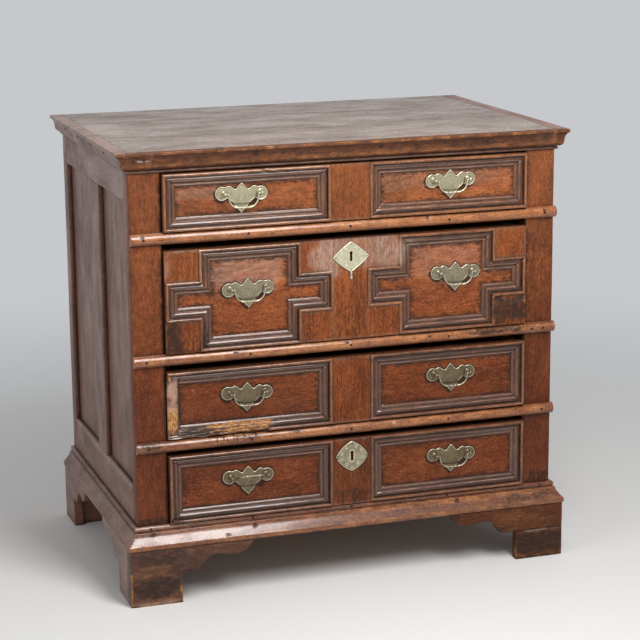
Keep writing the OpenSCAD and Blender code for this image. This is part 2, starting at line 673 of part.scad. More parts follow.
// Outline of a cross about (cx, cz): upright of half width u over the height h, arms of half length a and half height r
function cross_path(cx, cz, u, h, a, r) = [for (p = [[-u, -h], [u, -h], [u, -r], [a, -r], [a, r], [u, r],
    [u, h], [-u, h], [-u, r], [-a, r], [-a, -r], [-u, -r]]) [cx + p[0], cz + p[1]]];
module oblong_frames(i) {
    mitred_frame(oblong(-front_half, front_z(i), centre_left, front_top(i)));
    mitred_frame(oblong(centre_right, front_z(i), front_half, front_top(i)));
    span([centre_left + seam, -block_t, front_z(i)], [centre_right - seam, 0, front_top(i)]);
}
cross_r = cross_arm_h / 2;
module crosses(i) {
    for (s = [-1, 1])
        mitred_frame(cross_path(s * cross_x, front_mid(i), cross_u, front_h(i) / 2, cross_a, cross_r));
    for (z = [[front_z(i), front_mid(i) - cross_r - seam], [front_mid(i) + cross_r + seam, front_top(i)]])
        both_sides() {
            span([cross_x - cross_a + seam, -block_t, z[0]], [cross_x - cross_u - seam, 0, z[1]]);
            span([cross_x + cross_u + seam, -block_t, z[0]], [front_half, 0, z[1]]);
        }
    span([cross_a - cross_x + seam, -block_t, front_z(i)], [cross_x - cross_a - seam, 0, front_top(i)]);
}
module drawer_mouldings(i) color(oak) on_base() difference() {
    union() {
        if (i == 1) crosses(i);
        else oblong_frames(i);
    }
    if (i == 1 || i == 3) keyhole(i);
}

// Back plate: two round ears, a pointed top and a long pointed drop, all on the line of the posts
ear_r = 14;
ear_x = 40;
ear_z = -1.5;
plate_outline = [[0, 18.5], [4.5, 15.5], [8, 11], [12, 7.5], [17, 9], [23, 13], [29, 13.5], [33, 11.5], [40, 10],
    [40, -8], [31, -11], [27, -11.5], [21, -17], [16, -21], [15.5, -23], [12, -28], [8, -31.5], [0, -40.5]];
module plate_shape() {
    for (s = [-1, 1]) translate([s * ear_x * post_span / 75, ear_z]) circle(r = ear_r);
    polygon([for (p = plate_outline) p, for (k = [len(plate_outline) - 2:-1:1]) [-plate_outline[k][0], plate_outline[k][1]]]);
}
module post() {
    translate([0, front_t + nut_t, 0]) rotate([90, 0, 0]) cylinder(h = front_t + nut_t + post_out, r = shank_r, $fn = 24);
    span([-5, front_t, -5], [5, front_t + nut_t, 5]);
    translate([0, -plate_t - seam / 2, 0]) rotate([90, 0, 0]) cylinder(h = 3, r1 = 5, r2 = 3.6);
    translate([0, -post_out, 0]) sphere(r = ball_r);
}
module handle_plates(i) color(brass) on_base() for (s = [-1, 1]) translate([handle_x(i, s), 0, handle_z(i)]) {
    difference() {
        rotate([90, 0, 0]) linear_extrude(plate_t) plate_shape();
        for (k = [-1, 1]) translate([k * post_span / 2, eps, 0]) rotate([90, 0, 0])
            cylinder(h = plate_t + 2 * eps, r = shank_r + 0.2, $fn = 24);
    }
    for (k = [-1, 1]) difference() {
        translate([k * post_span / 2, 0, 0]) post();
        translate([0, -post_out, 0]) rotate([0, k * 90, 0])
            cylinder(h = post_span / 2 + pin_end + 0.5, r = pin_r + pin_clear, $fn = 24);
    }
}

// Bail: pivot pins in the balls, a leg that splays out at each side, a round corner and a turned knop in the middle
pin_end = 1;
elbow_x = post_span / 2 - ball_r - 0.9;
elbow_r = 2.6;
corner_r = 10;
splay = 20;
leg_l = (bail_drop - (corner_r + elbow_r) * (1 + sin(splay))) / cos(splay);
leg_top = [elbow_x - elbow_r * cos(splay), -elbow_r * (1 + sin(splay))];
corner = leg_top + leg_l * [sin(splay), -cos(splay)] - corner_r * [cos(splay), sin(splay)];
// Stations of the turned middle: distance from the centre and radius
turning = [[10.2, 2.2], [9.4, 2.9], [7.8, 3.1], [6.4, 2.7], [5.6, 2.1], [4.6, 2.6], [3, 3.8], [1.2, knop_r]];
// Stations of the right half from the pin to the middle: x, z and radius
bail_half = concat([[elbow_x + 0.3, 0, bail_r]],
    [for (p = arc([elbow_x, -elbow_r], elbow_r, 90, 180 + splay, 4)) [p[0], p[1], bail_r]],
    [for (p = arc(corner, corner_r, splay, -90, 6)) [p[0], p[1], bail_r]],
    [for (t = turning) [t[0], -bail_drop, t[1]]]);
bail_path = concat(bail_half, [for (k = [len(bail_half) - 1:-1:0]) [-bail_half[k][0], bail_half[k][1], bail_half[k][2]]]);
bail_sides = 10;
function along(p, i) = let (a = p[max(i - 1, 0)], b = p[min(i + 1, len(p) - 1)], d = [b[0] - a[0], b[1] - a[1]]) d / norm(d);
module bail_rod() {
    n = len(bail_path);
    rings = [for (i = [0:n - 1]) let (t = along(bail_path, i), c = bail_path[i]) for (k = [0:bail_sides - 1])
        let (a = 360 * k / bail_sides) [c[0] - t[1] * c[2] * cos(a), c[2] * sin(a), c[1] + t[0] * c[2] * cos(a)]];
    polyhedron(rings, concat([[for (k = [bail_sides - 1:-1:0]) k]],
        [for (i = [0:n - 2]) for (k = [0:bail_sides - 1]) let (a = i * bail_sides, k2 = (k + 1) % bail_sides)
            each [[a + k, a + k2, a + k + bail_sides], [a + k2, a + k2 + bail_sides, a + k + bail_sides]]],
        [[for (k = [0:bail_sides - 1]) (n - 1) * bail_sides + k]]));
}
module bail(i, s, angle) color(brass) on_base() translate([handle_x(i, s), -post_out, handle_z(i)]) rotate([-angle, 0, 0]) {
    bail_rod();
    for (k = [-1, 1]) translate([k * elbow_x, 0, 0]) rotate([0, k * 90, 0])
        cylinder(h = post_span / 2 + pin_end - elbow_x, r = pin_r, $fn = 24);
}

// Escutcheon outlines: four bulged edges round the middle
function lozenge(w, h, bulge) = concat(bulged([w / 2, 0], [0, -h / 2], -bulge), bulged([0, -h / 2], [-w / 2, 0], -bulge),
    bulged([-w / 2, 0], [0, h / 2], -bulge), bulged([0, h / 2], [w / 2, 0], -bulge));
pin_hole_r = 1.2;
module escutcheon(i, w, h, bulge) color(brass) on_base() difference() {
    translate([keyhole_x(), -block_t, escutcheon_z(i)]) {
        rotate([90, 0, 0]) linear_extrude(plate_t) polygon(lozenge(w, h, bulge));
        for (p = [[w / 2 - 4, 0], [4 - w / 2, 0], [0, h / 2 - 4], [0, 4 - h / 2]])
            translate([p[0], -plate_t, p[1]]) sphere(r = pin_hole_r, $fn = 16);
    }
    keyhole(i);
}

// Lock behind each escutcheon, with a bolt that slides up out of its case
lock_drop = 3;
bolt_l = 40;
module bolt_space(i, c) translate([keyhole_x() - bolt_w / 2 - c, front_t + bolt_y - c, front_top(i) - bolt_l - c])
    cube([bolt_w + 2 * c, bolt_t + 2 * c, bolt_l + 2 * c]);
module lock(i) color(iron) on_base() difference() {
    span([keyhole_x() - lock_w / 2, front_t, front_top(i) - lock_drop - lock_h],
        [keyhole_x() + lock_w / 2, front_t + lock_t, front_top(i) - lock_drop]);
    bolt_space(i, bolt_clear);
}
module bolt(i) color(iron) on_base() bolt_space(i, 0);

front_stile_left();
front_stile_right();
rear_stiles();
side_top_rails();
side_bottom_rails();
side_muntins();
side_panels();
top_rail();
bottom_rail();
drawer_rails();
back_rails();
back_boards();
top_boards();
cornice_front();
cornice_left();
cornice_right();
rail_mouldings();
plinth_front();
plinth_left();
plinth_right();
foot_front_left();
foot_front_right();
foot_rear_left();
foot_rear_right();
drawer_runners();
nails();
drawer_front(0);  // drawer_1_front
drawer_box(0);  // drawer_1_box
drawer_bottom(0);  // drawer_1_bottom
drawer_mouldings(0);  // drawer_1_mouldings
handle_plates(0);  // drawer_1_handle_plates
drawer_front(1);  // drawer_2_front
drawer_box(1);  // drawer_2_box
drawer_bottom(1);  // drawer_2_bottom
drawer_mouldings(1);  // drawer_2_mouldings
handle_plates(1);  // drawer_2_handle_plates
drawer_front(2);  // drawer_3_front
drawer_box(2);  // drawer_3_box
drawer_bottom(2);  // drawer_3_bottom
drawer_mouldings(2);  // drawer_3_mouldings
handle_plates(2);  // drawer_3_handle_plates
drawer_front(3);  // drawer_4_front
drawer_box(3);  // drawer_4_box
drawer_bottom(3);  // drawer_4_bottom
drawer_mouldings(3);  // drawer_4_mouldings
handle_plates(3);  // drawer_4_handle_plates
bail(0, -1, 0);  // bail_1_left
bail(0, 1, 0);  // bail_1_right
bail(1, -1, 0);  // bail_2_left
bail(1, 1, 0);  // bail_2_right
bail(2, -1, 0);  // bail_3_left
bail(2, 1, 0);  // bail_3_right
bail(3, -1, raised_angle);  // bail_4_left
bail(3, 1, 0);  // bail_4_right
escutcheon(1, lozenge_w, lozenge_h, 2.5);  // escutcheon_2
escutcheon(3, rounded_w, rounded_h, 5);  // escutcheon_4
lock(1);  // lock_2
lock(3);  // lock_4
bolt(1);  // bolt_2
bolt(3);  // bolt_4
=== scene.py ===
# Joined oak chest of four long drawers: aged boards, worn mouldings, brass handles and iron nails.
# Everything is in metres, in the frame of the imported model; the settings give lengths in millimetres.
import json
import math
import random

import bmesh
import bpy
import numpy
from mathutils import Matrix, Vector, noise

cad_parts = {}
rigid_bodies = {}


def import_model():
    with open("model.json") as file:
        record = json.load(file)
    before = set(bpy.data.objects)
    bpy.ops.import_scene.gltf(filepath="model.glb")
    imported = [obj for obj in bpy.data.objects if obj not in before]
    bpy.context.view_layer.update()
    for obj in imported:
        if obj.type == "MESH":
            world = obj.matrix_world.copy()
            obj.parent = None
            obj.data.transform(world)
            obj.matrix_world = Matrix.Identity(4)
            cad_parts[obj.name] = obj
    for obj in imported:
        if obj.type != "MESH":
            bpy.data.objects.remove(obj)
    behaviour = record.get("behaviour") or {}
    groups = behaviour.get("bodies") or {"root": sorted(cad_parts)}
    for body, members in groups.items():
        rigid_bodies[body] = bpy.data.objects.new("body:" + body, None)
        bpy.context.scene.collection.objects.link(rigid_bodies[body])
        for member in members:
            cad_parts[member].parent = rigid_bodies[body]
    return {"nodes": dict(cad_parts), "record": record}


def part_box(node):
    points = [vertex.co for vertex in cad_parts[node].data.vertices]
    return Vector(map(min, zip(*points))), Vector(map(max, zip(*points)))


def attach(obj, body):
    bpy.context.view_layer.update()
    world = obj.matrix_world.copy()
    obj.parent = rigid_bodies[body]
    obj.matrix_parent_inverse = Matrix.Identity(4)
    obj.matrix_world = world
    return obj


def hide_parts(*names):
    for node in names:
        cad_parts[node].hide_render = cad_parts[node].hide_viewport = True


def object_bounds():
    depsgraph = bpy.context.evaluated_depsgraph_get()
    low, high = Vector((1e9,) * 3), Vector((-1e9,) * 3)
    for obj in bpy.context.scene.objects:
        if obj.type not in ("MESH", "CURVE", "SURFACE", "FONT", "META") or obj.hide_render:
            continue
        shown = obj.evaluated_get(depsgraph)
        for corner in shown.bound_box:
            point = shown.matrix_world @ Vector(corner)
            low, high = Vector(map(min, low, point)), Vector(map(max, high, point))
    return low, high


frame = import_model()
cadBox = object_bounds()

mm = 0.001
nodes = frame["nodes"]
bodyOf = {name: body for body, members in frame["record"]["behaviour"]["bodies"].items() for name in members}
slotOf = {row["node"]: row["material_slot"] for row in frame["record"]["subparts"]}
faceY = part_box("front_stile_left")[0][1]  # front face of the stiles
random.seed(7)


def makeActive(piece):
    for item in bpy.context.selected_objects:
        item.select_set(False)
    piece.select_set(True)
    bpy.context.view_layer.objects.active = piece


# Camera: the photograph's place, direction and lens; its frame is 640 by 640 pixels
cameraSettings = {"place": (-1.34618, -4.08222, 1.49587), "yaw": 18.666, "pitch": 13.193, "roll": -0.479,
                  "focalPixels": 2043.71, "framePixels": 640, "sensor": 36}


def addCamera():
    c = cameraSettings
    bpy.ops.object.camera_add(location=c["place"])
    camera = bpy.context.object
    camera.name = "photoCamera"
    aim = (Matrix.Rotation(math.radians(-c["yaw"]), 3, "Z") @ Matrix.Rotation(math.radians(90 - c["pitch"]), 3, "X")
           @ Matrix.Rotation(math.radians(c["roll"]), 3, "Z"))
    camera.rotation_euler = aim.to_euler()
    camera.data.sensor_width = c["sensor"]
    camera.data.lens = c["focalPixels"] / c["framePixels"] * c["sensor"]
    bpy.context.scene.camera = camera


# Lights and floor
studio = {"floor": "#e8e7e4", "backdrop": "#c6c8cb", "floorRadius": 6, "fadeFrom": 0.6, "fadeTo": 2.8, "world": 0.36,
          "lamps": {"overFront": {"place": (0.12, -1.4, 1.82), "aim": (-0.1, -0.3, 0.62), "size": (0.64, 1.2), "power": 34},
                    "overTop": {"place": (0.15, 0.5, 2.5), "aim": (0, -0.1, 0.9), "size": (1.4, 1.0), "power": 6},
                    "leftFill": {"place": (-2.6, -1.2, 1.7), "aim": (-0.4, 0, 0.5), "size": (1.4, 1.4), "power": 14},
                    "cameraFill": {"place": (-0.6, -3.6, 1.6), "aim": (0, -0.3, 0.5), "size": (1.6, 1.2), "power": 4}}}


def linearColour(code):  # sRGB hex to linear RGBA
    parts = [int(code[k:k + 2], 16) / 255 for k in (1, 3, 5)]
    return [p / 12.92 if p <= 0.04045 else ((p + 0.055) / 1.055) ** 2.4 for p in parts] + [1]


def add(tree, kind, inputs=None, **settings):  # adds a node with its settings and links
    made = tree.nodes.new(kind)
    for name, value in settings.items():
        setattr(made, name, value)
    for name, value in (inputs or {}).items():
        if isinstance(value, bpy.types.NodeSocket):
            tree.links.new(value, made.inputs[name])
        else:
            made.inputs[name].default_value = value
    return made


def newMaterial(name):
    material = bpy.data.materials.new(name)
    material.use_nodes = True
    material.node_tree.nodes.clear()
    return material, material.node_tree


def addStudio():
    bpy.ops.mesh.primitive_circle_add(vertices=96, radius=studio["floorRadius"], fill_type="NGON")
    floor = bpy.context.object
    floor.name = "studioFloor"
    material, tree = newMaterial("paleFloor")
    place = add(tree, "ShaderNodeTexCoord").outputs["Object"]
    away = add(tree, "ShaderNodeVectorMath", {0: place}, operation="LENGTH").outputs["Value"]
    fade = add(tree, "ShaderNodeMapRange", {"Value": away, "From Min": studio["fadeFrom"], "From Max": studio["fadeTo"]},
               interpolation_type="SMOOTHSTEP").outputs["Result"]
    near = add(tree, "ShaderNodeBsdfDiffuse", {"Color": linearColour(studio["floor"])}).outputs[0]
    clear = add(tree, "ShaderNodeBsdfTransparent").outputs[0]
    both = add(tree, "ShaderNodeMixShader", {0: fade, 1: near, 2: clear}).outputs[0]
    add(tree, "ShaderNodeOutputMaterial", {"Surface": both})
    floor.data.materials.append(material)
    for name, lamp in studio["lamps"].items():
        bpy.ops.object.light_add(type="AREA", location=lamp["place"])
        light = bpy.context.object
        light.name = name
        light.data.shape = "RECTANGLE"
        light.data.size, light.data.size_y = lamp["size"]
        light.data.energy = lamp["power"]
        light.rotation_euler = (Vector(lamp["aim"]) - Vector(lamp["place"])).to_track_quat("-Z", "Y").to_euler()
    world = bpy.data.worlds.new("studioWorld")
    world.use_nodes = True
    tree = world.node_tree
    tree.nodes.clear()
    path = add(tree, "ShaderNodeLightPath").outputs
    seen = add(tree, "ShaderNodeMath", {0: path["Is Camera Ray"], 1: path["Is Glossy Ray"]}, operation="MAXIMUM").outputs[0]
    soft = add(tree, "ShaderNodeBackground", {"Color": linearColour("#f4f6fa"), "Strength": studio["world"]}).outputs[0]
    wall = add(tree, "ShaderNodeBackground", {"Color": linearColour(studio["backdrop"]), "Strength": 1}).outputs[0]
    both = add(tree, "ShaderNodeMixShader", {0: seen, 1: soft, 2: wall}).outputs[0]
    add(tree, "ShaderNodeOutputWorld", {"Surface": both})
    bpy.context.scene.world = world
    bpy.context.scene.view_settings.view_transform = "Standard"


addCamera()
addStudio()
print("camera, lights and floor are in place")


# Waxed oak, hand planed three centuries ago: rings and short dark pores run along each board, black dirt and painted
# shade sit in the corners, and hands have rubbed the arrises back to warm orange wood. The attribute grain holds a
# place on the board, with x along its fibres, so each board has a figure of its own. Pores are drawn 1.5 mm wide, as
# finer ones don't show.
# The attributes soot, bare, pale, dim, rub, matt and worm say where dirt and painted shade, broken wood, bloom and
# painted sheen, painted shade, rubbing, unwaxed wood and holes are; across and level give the distance over a moulded
# strip and how much painted highlight it gets.
# low and high are painted shade towards the bottom and painted light towards the top
oakFinishes = {
    "frontOak": {"early": "#964a21", "late": "#632a13", "patina": "#421e11", "flash": "#b46b40", "arris": "#b46f3c",
                 "dirtAndShade": "#21130c", "low": ("#451b0a", 0.5), "high": ("#b07a50", 0.18), "dim": "#4a2616", "streak": 0.35,
                 "grimeAndShade": 0.85, "reach": 14, "rough": 0.46, "dull": 0.10, "specular": 0.15, "coat": 0.12, "arrisShare": 0.35},
    "mouldingOak": {"early": "#96542c", "late": "#62321b", "patina": "#462618", "flash": "#b87648", "arris": "#cb8449",
                    "dirtAndShade": "#20130d", "low": ("#3e1e10", 0.30), "high": ("#ab7a52", 0.18), "dim": "#47322a", "streak": 0.5,
                    "grimeAndShade": 0.95, "reach": 4.5, "rough": 0.38, "dull": 0.08, "specular": 0.22, "coat": 1, "arrisShare": 0.25,
                    "bump": 0.16, "wander": 4},
    "sideOak": {"early": "#90604d", "late": "#644034", "patina": "#4a302a", "flash": "#966c5b", "arris": "#9a745c",
                "dirtAndShade": "#1f1613", "low": ("#6e4636", 0.35), "high": ("#8b7468", 0.10), "dim": "#33251f", "streak": 0.5,
                "grimeAndShade": 0.9, "reach": 14, "rough": 0.44, "dull": 0.12, "specular": 0.5, "coat": 0.1, "arrisShare": 0.6},
    "topOak": {"early": "#957e70", "late": "#6b564a", "patina": "#504038", "flash": "#b8a596", "arris": "#c08a5c",
               "dirtAndShade": "#2b211c", "low": ("#544236", 0), "high": ("#544236", 0), "dim": "#46382f", "streak": 1,
               "grimeAndShade": 0.9, "reach": 8, "rough": 0.38, "dull": 0.14, "specular": 0.5, "coat": 0.15, "arrisShare": 0.7},
    "innerOak": {"early": "#a07c58", "late": "#7a5a3e", "patina": "#5e4632", "flash": "#b08c66", "arris": "#ab8a66",
                 "dirtAndShade": "#3a2c22", "low": ("#5e4632", 0), "high": ("#5e4632", 0), "dim": "#4a3828", "streak": 0.5,
                 "grimeAndShade": 0.8, "reach": 14, "rough": 0.75, "dull": 0.10, "specular": 0.3, "coat": 0, "arrisShare": 0.5},
}
oakGrain = {"ridges": [9.3, 15.8, 23.6], "grooves": [7.2, 12.3, 19.8, 26.6], "ring": 5, "patch": (120, 50),
            "mottle": (18, 8), "streak": (70, 3), "stroke": (6, 2.6), "pore": (6, 2.2), "rubbed": (45, 16), "arrisReach": 2.2, "wormSpacing": 17, "wormSize": 1.1}
# colours of stains, wear and bloom, and of painted highlight, sheen and shade
oakStainsAndPaintedLight = {"matt": "#ecd3b4", "paintedShine": "#b09182", "torn": ("#cf9a62", "#7a4828"), "bloomAndSheen": "#b9a596", "sootAndShade": "#2e2019",
             "hole": "#150f0c"}


def scaled(tree, vector, factors):
    return add(tree, "ShaderNodeVectorMath", {0: vector, 1: factors}, operation="MULTIPLY").outputs["Vector"]


def remap(tree, value, low, high, to=(0, 1)):
    return add(tree, "ShaderNodeMapRange", {"Value": value, "From Min": low, "From Max": high, "To Min": to[0],
                                            "To Max": to[1]}).outputs["Result"]


def calc(tree, kind, a, b):
    return add(tree, "ShaderNodeMath", {0: a, 1: b}, operation=kind).outputs[0]


def times(tree, a, b):
    return calc(tree, "MULTIPLY", a, b)


def blend(tree, factor, a, b, mode="MIX"):
    return add(tree, "ShaderNodeMix", {0: factor, 6: a, 7: b}, data_type="RGBA", blend_type=mode).outputs[2]


def fibres(tree, place, along, across, detail=3, rough=0.6):  # noise drawn out along the fibres; lengths in mm
    factors = (1 / (along * mm), 1 / (across * mm), 1 / (across * mm))
    return add(tree, "ShaderNodeTexNoise", {"Vector": scaled(tree, place, factors), "Scale": 1, "Detail": detail,
                                            "Roughness": rough}).outputs["Fac"]


def frayed(tree, mark, ragged, low, high):  # a painted mark whose edge breaks up as ragged does
    return times(tree, remap(tree, calc(tree, "ADD", mark, ragged), low, high), remap(tree, mark, 0, 0.12))


def stripes(tree, across, middles):  # lines 2 mm wide along a strip, by their distance from its outer edge in mm
    found = 0
    for middle in middles:
        far = calc(tree, "ABSOLUTE", calc(tree, "SUBTRACT", across, middle), 0)
        found = calc(tree, "MAXIMUM", remap(tree, far, 1.2, 0.3), found)
    return found


def oak(name):
    s, g = oakFinishes[name], oakGrain
    material, tree = newMaterial(name)
    colour = {key: linearColour(s[key]) for key in ("early", "late", "patina", "flash", "arris", "dirtAndShade", "dim")}
    mark = {key: add(tree, "ShaderNodeAttribute", attribute_name=key).outputs["Fac"]
            for key in ("sootAndShade", "bare", "pale", "dim", "rub", "matt", "across", "level", "worm")}
    world = add(tree, "ShaderNodeTexCoord").outputs["Object"]
    place = add(tree, "ShaderNodeAttribute", attribute_name="grain").outputs["Vector"]
    wander = add(tree, "ShaderNodeTexNoise", {"Vector": scaled(tree, place, (5, 16, 16)), "Scale": 1, "Detail": 3})
    moved = add(tree, "ShaderNodeVectorMath", {0: wander.outputs["Color"], 1: (0.5, 0.5, 0.5)}, operation="SUBTRACT")
    moved = scaled(tree, moved.outputs["Vector"], (0, s.get("wander", 30) * mm, s.get("wander", 30) * mm))
    bent = add(tree, "ShaderNodeVectorMath", {0: place, 1: moved}, operation="ADD").outputs["Vector"]
    rings = add(tree, "ShaderNodeTexWave", {"Vector": bent, "Scale": 0.314 / (g["ring"] * mm), "Distortion": 3, "Detail": 3,
                                            "Detail Scale": 0.6}, wave_type="RINGS", rings_direction="X").outputs["Fac"]
    patches = fibres(tree, bent, *g["patch"], 4)
    mottle = fibres(tree, bent, *g["mottle"], 4, 0.7)
    streaks = fibres(tree, bent, *g["streak"], 4, 0.65)
    strokes = fibres(tree, bent, *g["stroke"], 3, 0.75)
    pores = remap(tree, fibres(tree, place, *g["pore"], 1), 0.62, 0.70)
    worn = fibres(tree, place, *g["rubbed"], 3, 0.7)
    tone = blend(tree, times(tree, rings, 0.35), colour["early"], colour["late"])
    tone = blend(tree, remap(tree, patches, 0.46, 0.68, (0, 0.8)), tone, colour["patina"])
    tone = blend(tree, remap(tree, patches, 0.46, 0.30, (0, 0.45)), tone, colour["flash"])
    for figure, share in ((mottle, 0.5), (streaks, s["streak"]), (strokes, 0.8)):
        tone = blend(tree, remap(tree, figure, 0.51, 0.67, (0, share)), tone, colour["patina"])
        tone = blend(tree, remap(tree, figure, 0.47, 0.33, (0, share * 0.8)), tone, colour["flash"])
    tone = blend(tree, times(tree, pores, 0.5), tone, colour["dirtAndShade"])
    height = add(tree, "ShaderNodeSeparateXYZ", {0: world}).outputs["Z"]
    # painted shade and light by height: the colour darkens below 0.64 m and lightens above 0.45 m
    tone = blend(tree, remap(tree, height, 0.64, 0.40, (0, s["low"][1])), tone, linearColour(s["low"][0]))
    tone = blend(tree, remap(tree, height, 0.45, 0.85, (0, s["high"][1])), tone, linearColour(s["high"][0]))
    tone = blend(tree, times(tree, mark["dim"], remap(tree, mottle, 0.35, 0.65, (0.45, 0.8))), tone, colour["dim"])
    tone = blend(tree, mark["matt"], tone, linearColour(oakStainsAndPaintedLight["matt"]), "MULTIPLY")
    ragged = calc(tree, "ADD", calc(tree, "ADD", times(tree, mottle, 0.9), times(tree, strokes, 0.6)), -0.75)
    # painted shade with dirt: the colour darkens where ambient occlusion finds corners, creases and grooves
    shade = add(tree, "ShaderNodeAmbientOcclusion", {"Distance": s["reach"] * mm}, samples=5).outputs["AO"]
    grimeAndShade = times(tree, remap(tree, shade, 0.95, 0.35), remap(tree, mottle, 0.3, 0.6, (0.5, 1)))
    tone = blend(tree, times(tree, grimeAndShade, s["grimeAndShade"]), tone, colour["dirtAndShade"])
    edge = add(tree, "ShaderNodeAmbientOcclusion", {"Distance": g["arrisReach"] * mm}, samples=5, inside=True,
               only_local=True).outputs["AO"]
    rubbed = times(tree, remap(tree, edge, 0.88, 0.5), s["arrisShare"])
    rubbed = times(tree, calc(tree, "MAXIMUM", rubbed, mark["rub"]), remap(tree, worn, 0.4, 0.6, (0.15, 1)))
    tone = blend(tree, times(tree, rubbed, remap(tree, strokes, 0.4, 0.6, (1, 0.4))), tone, colour["arris"])
    # painted highlight lines on the reed crests, stronger on level strips, and painted shade lines in the grooves
    ridge = stripes(tree, mark["across"], g["ridges"])
    groove = stripes(tree, mark["across"], g["grooves"])
    paintedShine = times(tree, mark["level"], remap(tree, worn, 0.36, 0.6, (0.7, 0.05)))
    tone = blend(tree, times(tree, ridge, paintedShine), tone, linearColour(oakStainsAndPaintedLight["paintedShine"]))
    tone = blend(tree, times(tree, groove, 0.75), tone, colour["dirtAndShade"])
    broken = frayed(tree, mark["bare"], ragged, 0.42, 0.56)
    fresh = blend(tree, remap(tree, strokes, 0.36, 0.62), *[linearColour(code) for code in oakStainsAndPaintedLight["torn"]])
    tone = blend(tree, broken, tone, fresh)
    # pale: wax bloom, and painted sheen and painted highlights where the pale marks stand for light
    bloomAndSheen = times(tree, mark["pale"], remap(tree, mottle, 0.36, 0.6, (1, 0.4)))
    tone = blend(tree, bloomAndSheen, tone, linearColour(oakStainsAndPaintedLight["bloomAndSheen"]))
    # dark marks of soot and dirt, and painted shade and shadow where the marks stand for them
    sootAndShadeMask = frayed(tree, mark["sootAndShade"], ragged, 0.30, 0.62)
    tone = blend(tree, times(tree, sootAndShadeMask, 0.84), tone, linearColour(oakStainsAndPaintedLight["sootAndShade"]))
    cells = add(tree, "ShaderNodeTexVoronoi", {"Vector": world, "Scale": 1 / (g["wormSpacing"] * mm)}).outputs["Distance"]
    holes = remap(tree, cells, (g["wormSize"] + 0.4) / g["wormSpacing"], (g["wormSize"] - 0.3) / g["wormSpacing"])
    tone = blend(tree, times(tree, holes, mark["worm"]), tone, linearColour(oakStainsAndPaintedLight["hole"]))
    rough = remap(tree, patches, 0.35, 0.65, (s["rough"] - s["dull"], s["rough"] + s["dull"]))
    rough = calc(tree, "ADD", rough, times(tree, calc(tree, "MAXIMUM", broken, mark["matt"]), 0.3))
    relief = calc(tree, "ADD", calc(tree, "ADD", streaks, strokes), times(tree, pores, -0.5))
    bump = add(tree, "ShaderNodeBump", {"Height": relief, "Strength": s.get("bump", 0.4), "Distance": 0.0007}).outputs["Normal"]
    bump = add(tree, "ShaderNodeBump", {"Height": calc(tree, "SUBTRACT", ridge, groove), "Strength": 0.5, "Distance": mm,
                                        "Normal": bump}).outputs["Normal"]
    waxed = times(tree, remap(tree, mark["matt"], 0, 1, (s["coat"], 0)), remap(tree, worn, 0.34, 0.56, (0.55, 1)))
    waxed = times(tree, waxed, remap(tree, calc(tree, "MAXIMUM", broken, sootAndShadeMask), 0, 1, (1, 0.2)))
    shader = add(tree, "ShaderNodeBsdfPrincipled", {"Base Color": tone, "Roughness": rough, "Normal": bump, "IOR": 1.5,
                                                    "Specular IOR Level": s["specular"], "Coat Weight": waxed,
                                                    "Coat Roughness": 0.17})
    add(tree, "ShaderNodeOutputMaterial", {"Surface": shader.outputs[0]})
    return material


# Cast brass, thin from polishing and dull for years: greenish yellow, brown in the hollows, brighter on the rims.
# The attributes hollow and worn follow the engraved lines and the raised rims; hollow also holds a painted shadow of
# each bail on its plate, and on the bails worn and hollow hold painted highlight and painted shade, with polish and
# tarnish, by which way a face turns.
brassFinishes = {
    "paleBrass": {"clean": "#c3bb9b", "tarnish": "#8b8468", "rim": "#e9e3cd", "hollow": "#453d2e", "rough": 0.42},
    "greyBrass": {"clean": "#a9a086", "tarnish": "#736a52", "rim": "#e0d9c0", "hollow": "#372e22", "rough": 0.42},
    "brownBrass": {"clean": "#887b60", "tarnish": "#574b36", "rim": "#dad3bc", "hollow": "#2c241a", "rough": 0.42},
    "brightBrass": {"clean": "#ece6c6", "tarnish": "#b4aa84", "rim": "#faf6e0", "hollow": "#6b6248", "rough": 0.36},
}


def oldBrass(name):
    s = brassFinishes[name]
    material, tree = newMaterial(name)
    place = add(tree, "ShaderNodeTexCoord").outputs["Object"]
    cloud = add(tree, "ShaderNodeTexNoise", {"Vector": place, "Scale": 90, "Detail": 5, "Roughness": 0.65}).outputs["Fac"]
    speck = add(tree, "ShaderNodeTexNoise", {"Vector": place, "Scale": 420, "Detail": 2}).outputs["Fac"]
    shade = add(tree, "ShaderNodeAmbientOcclusion", {"Distance": 4 * mm}, samples=5).outputs["AO"]
    hollow = add(tree, "ShaderNodeAttribute", attribute_name="hollow").outputs["Fac"]
    worn = add(tree, "ShaderNodeAttribute", attribute_name="worn").outputs["Fac"]
    tone = blend(tree, remap(tree, cloud, 0.4, 0.7, (0, 0.7)), linearColour(s["clean"]), linearColour(s["tarnish"]))
    tone = blend(tree, remap(tree, speck, 0.55, 0.75, (0, 0.4)), tone, linearColour(s["hollow"]))
    tone = blend(tree, times(tree, worn, 0.8), tone, linearColour(s["rim"]))
    deep = calc(tree, "MAXIMUM", remap(tree, shade, 0.9, 0.4), times(tree, hollow, 0.85))
    tone = blend(tree, deep, tone, linearColour(s["hollow"]))
    rough = remap(tree, cloud, 0.3, 0.7, (s["rough"] - 0.1, s["rough"] + 0.14))
    bump = add(tree, "ShaderNodeBump", {"Height": cloud, "Strength": 0.25, "Distance": 0.0008}).outputs["Normal"]
    shader = add(tree, "ShaderNodeBsdfPrincipled", {"Base Color": tone, "Roughness": rough, "Metallic": 0.85, "Normal": bump})
    add(tree, "ShaderNodeOutputMaterial", {"Surface": shader.outputs[0]})
    return material


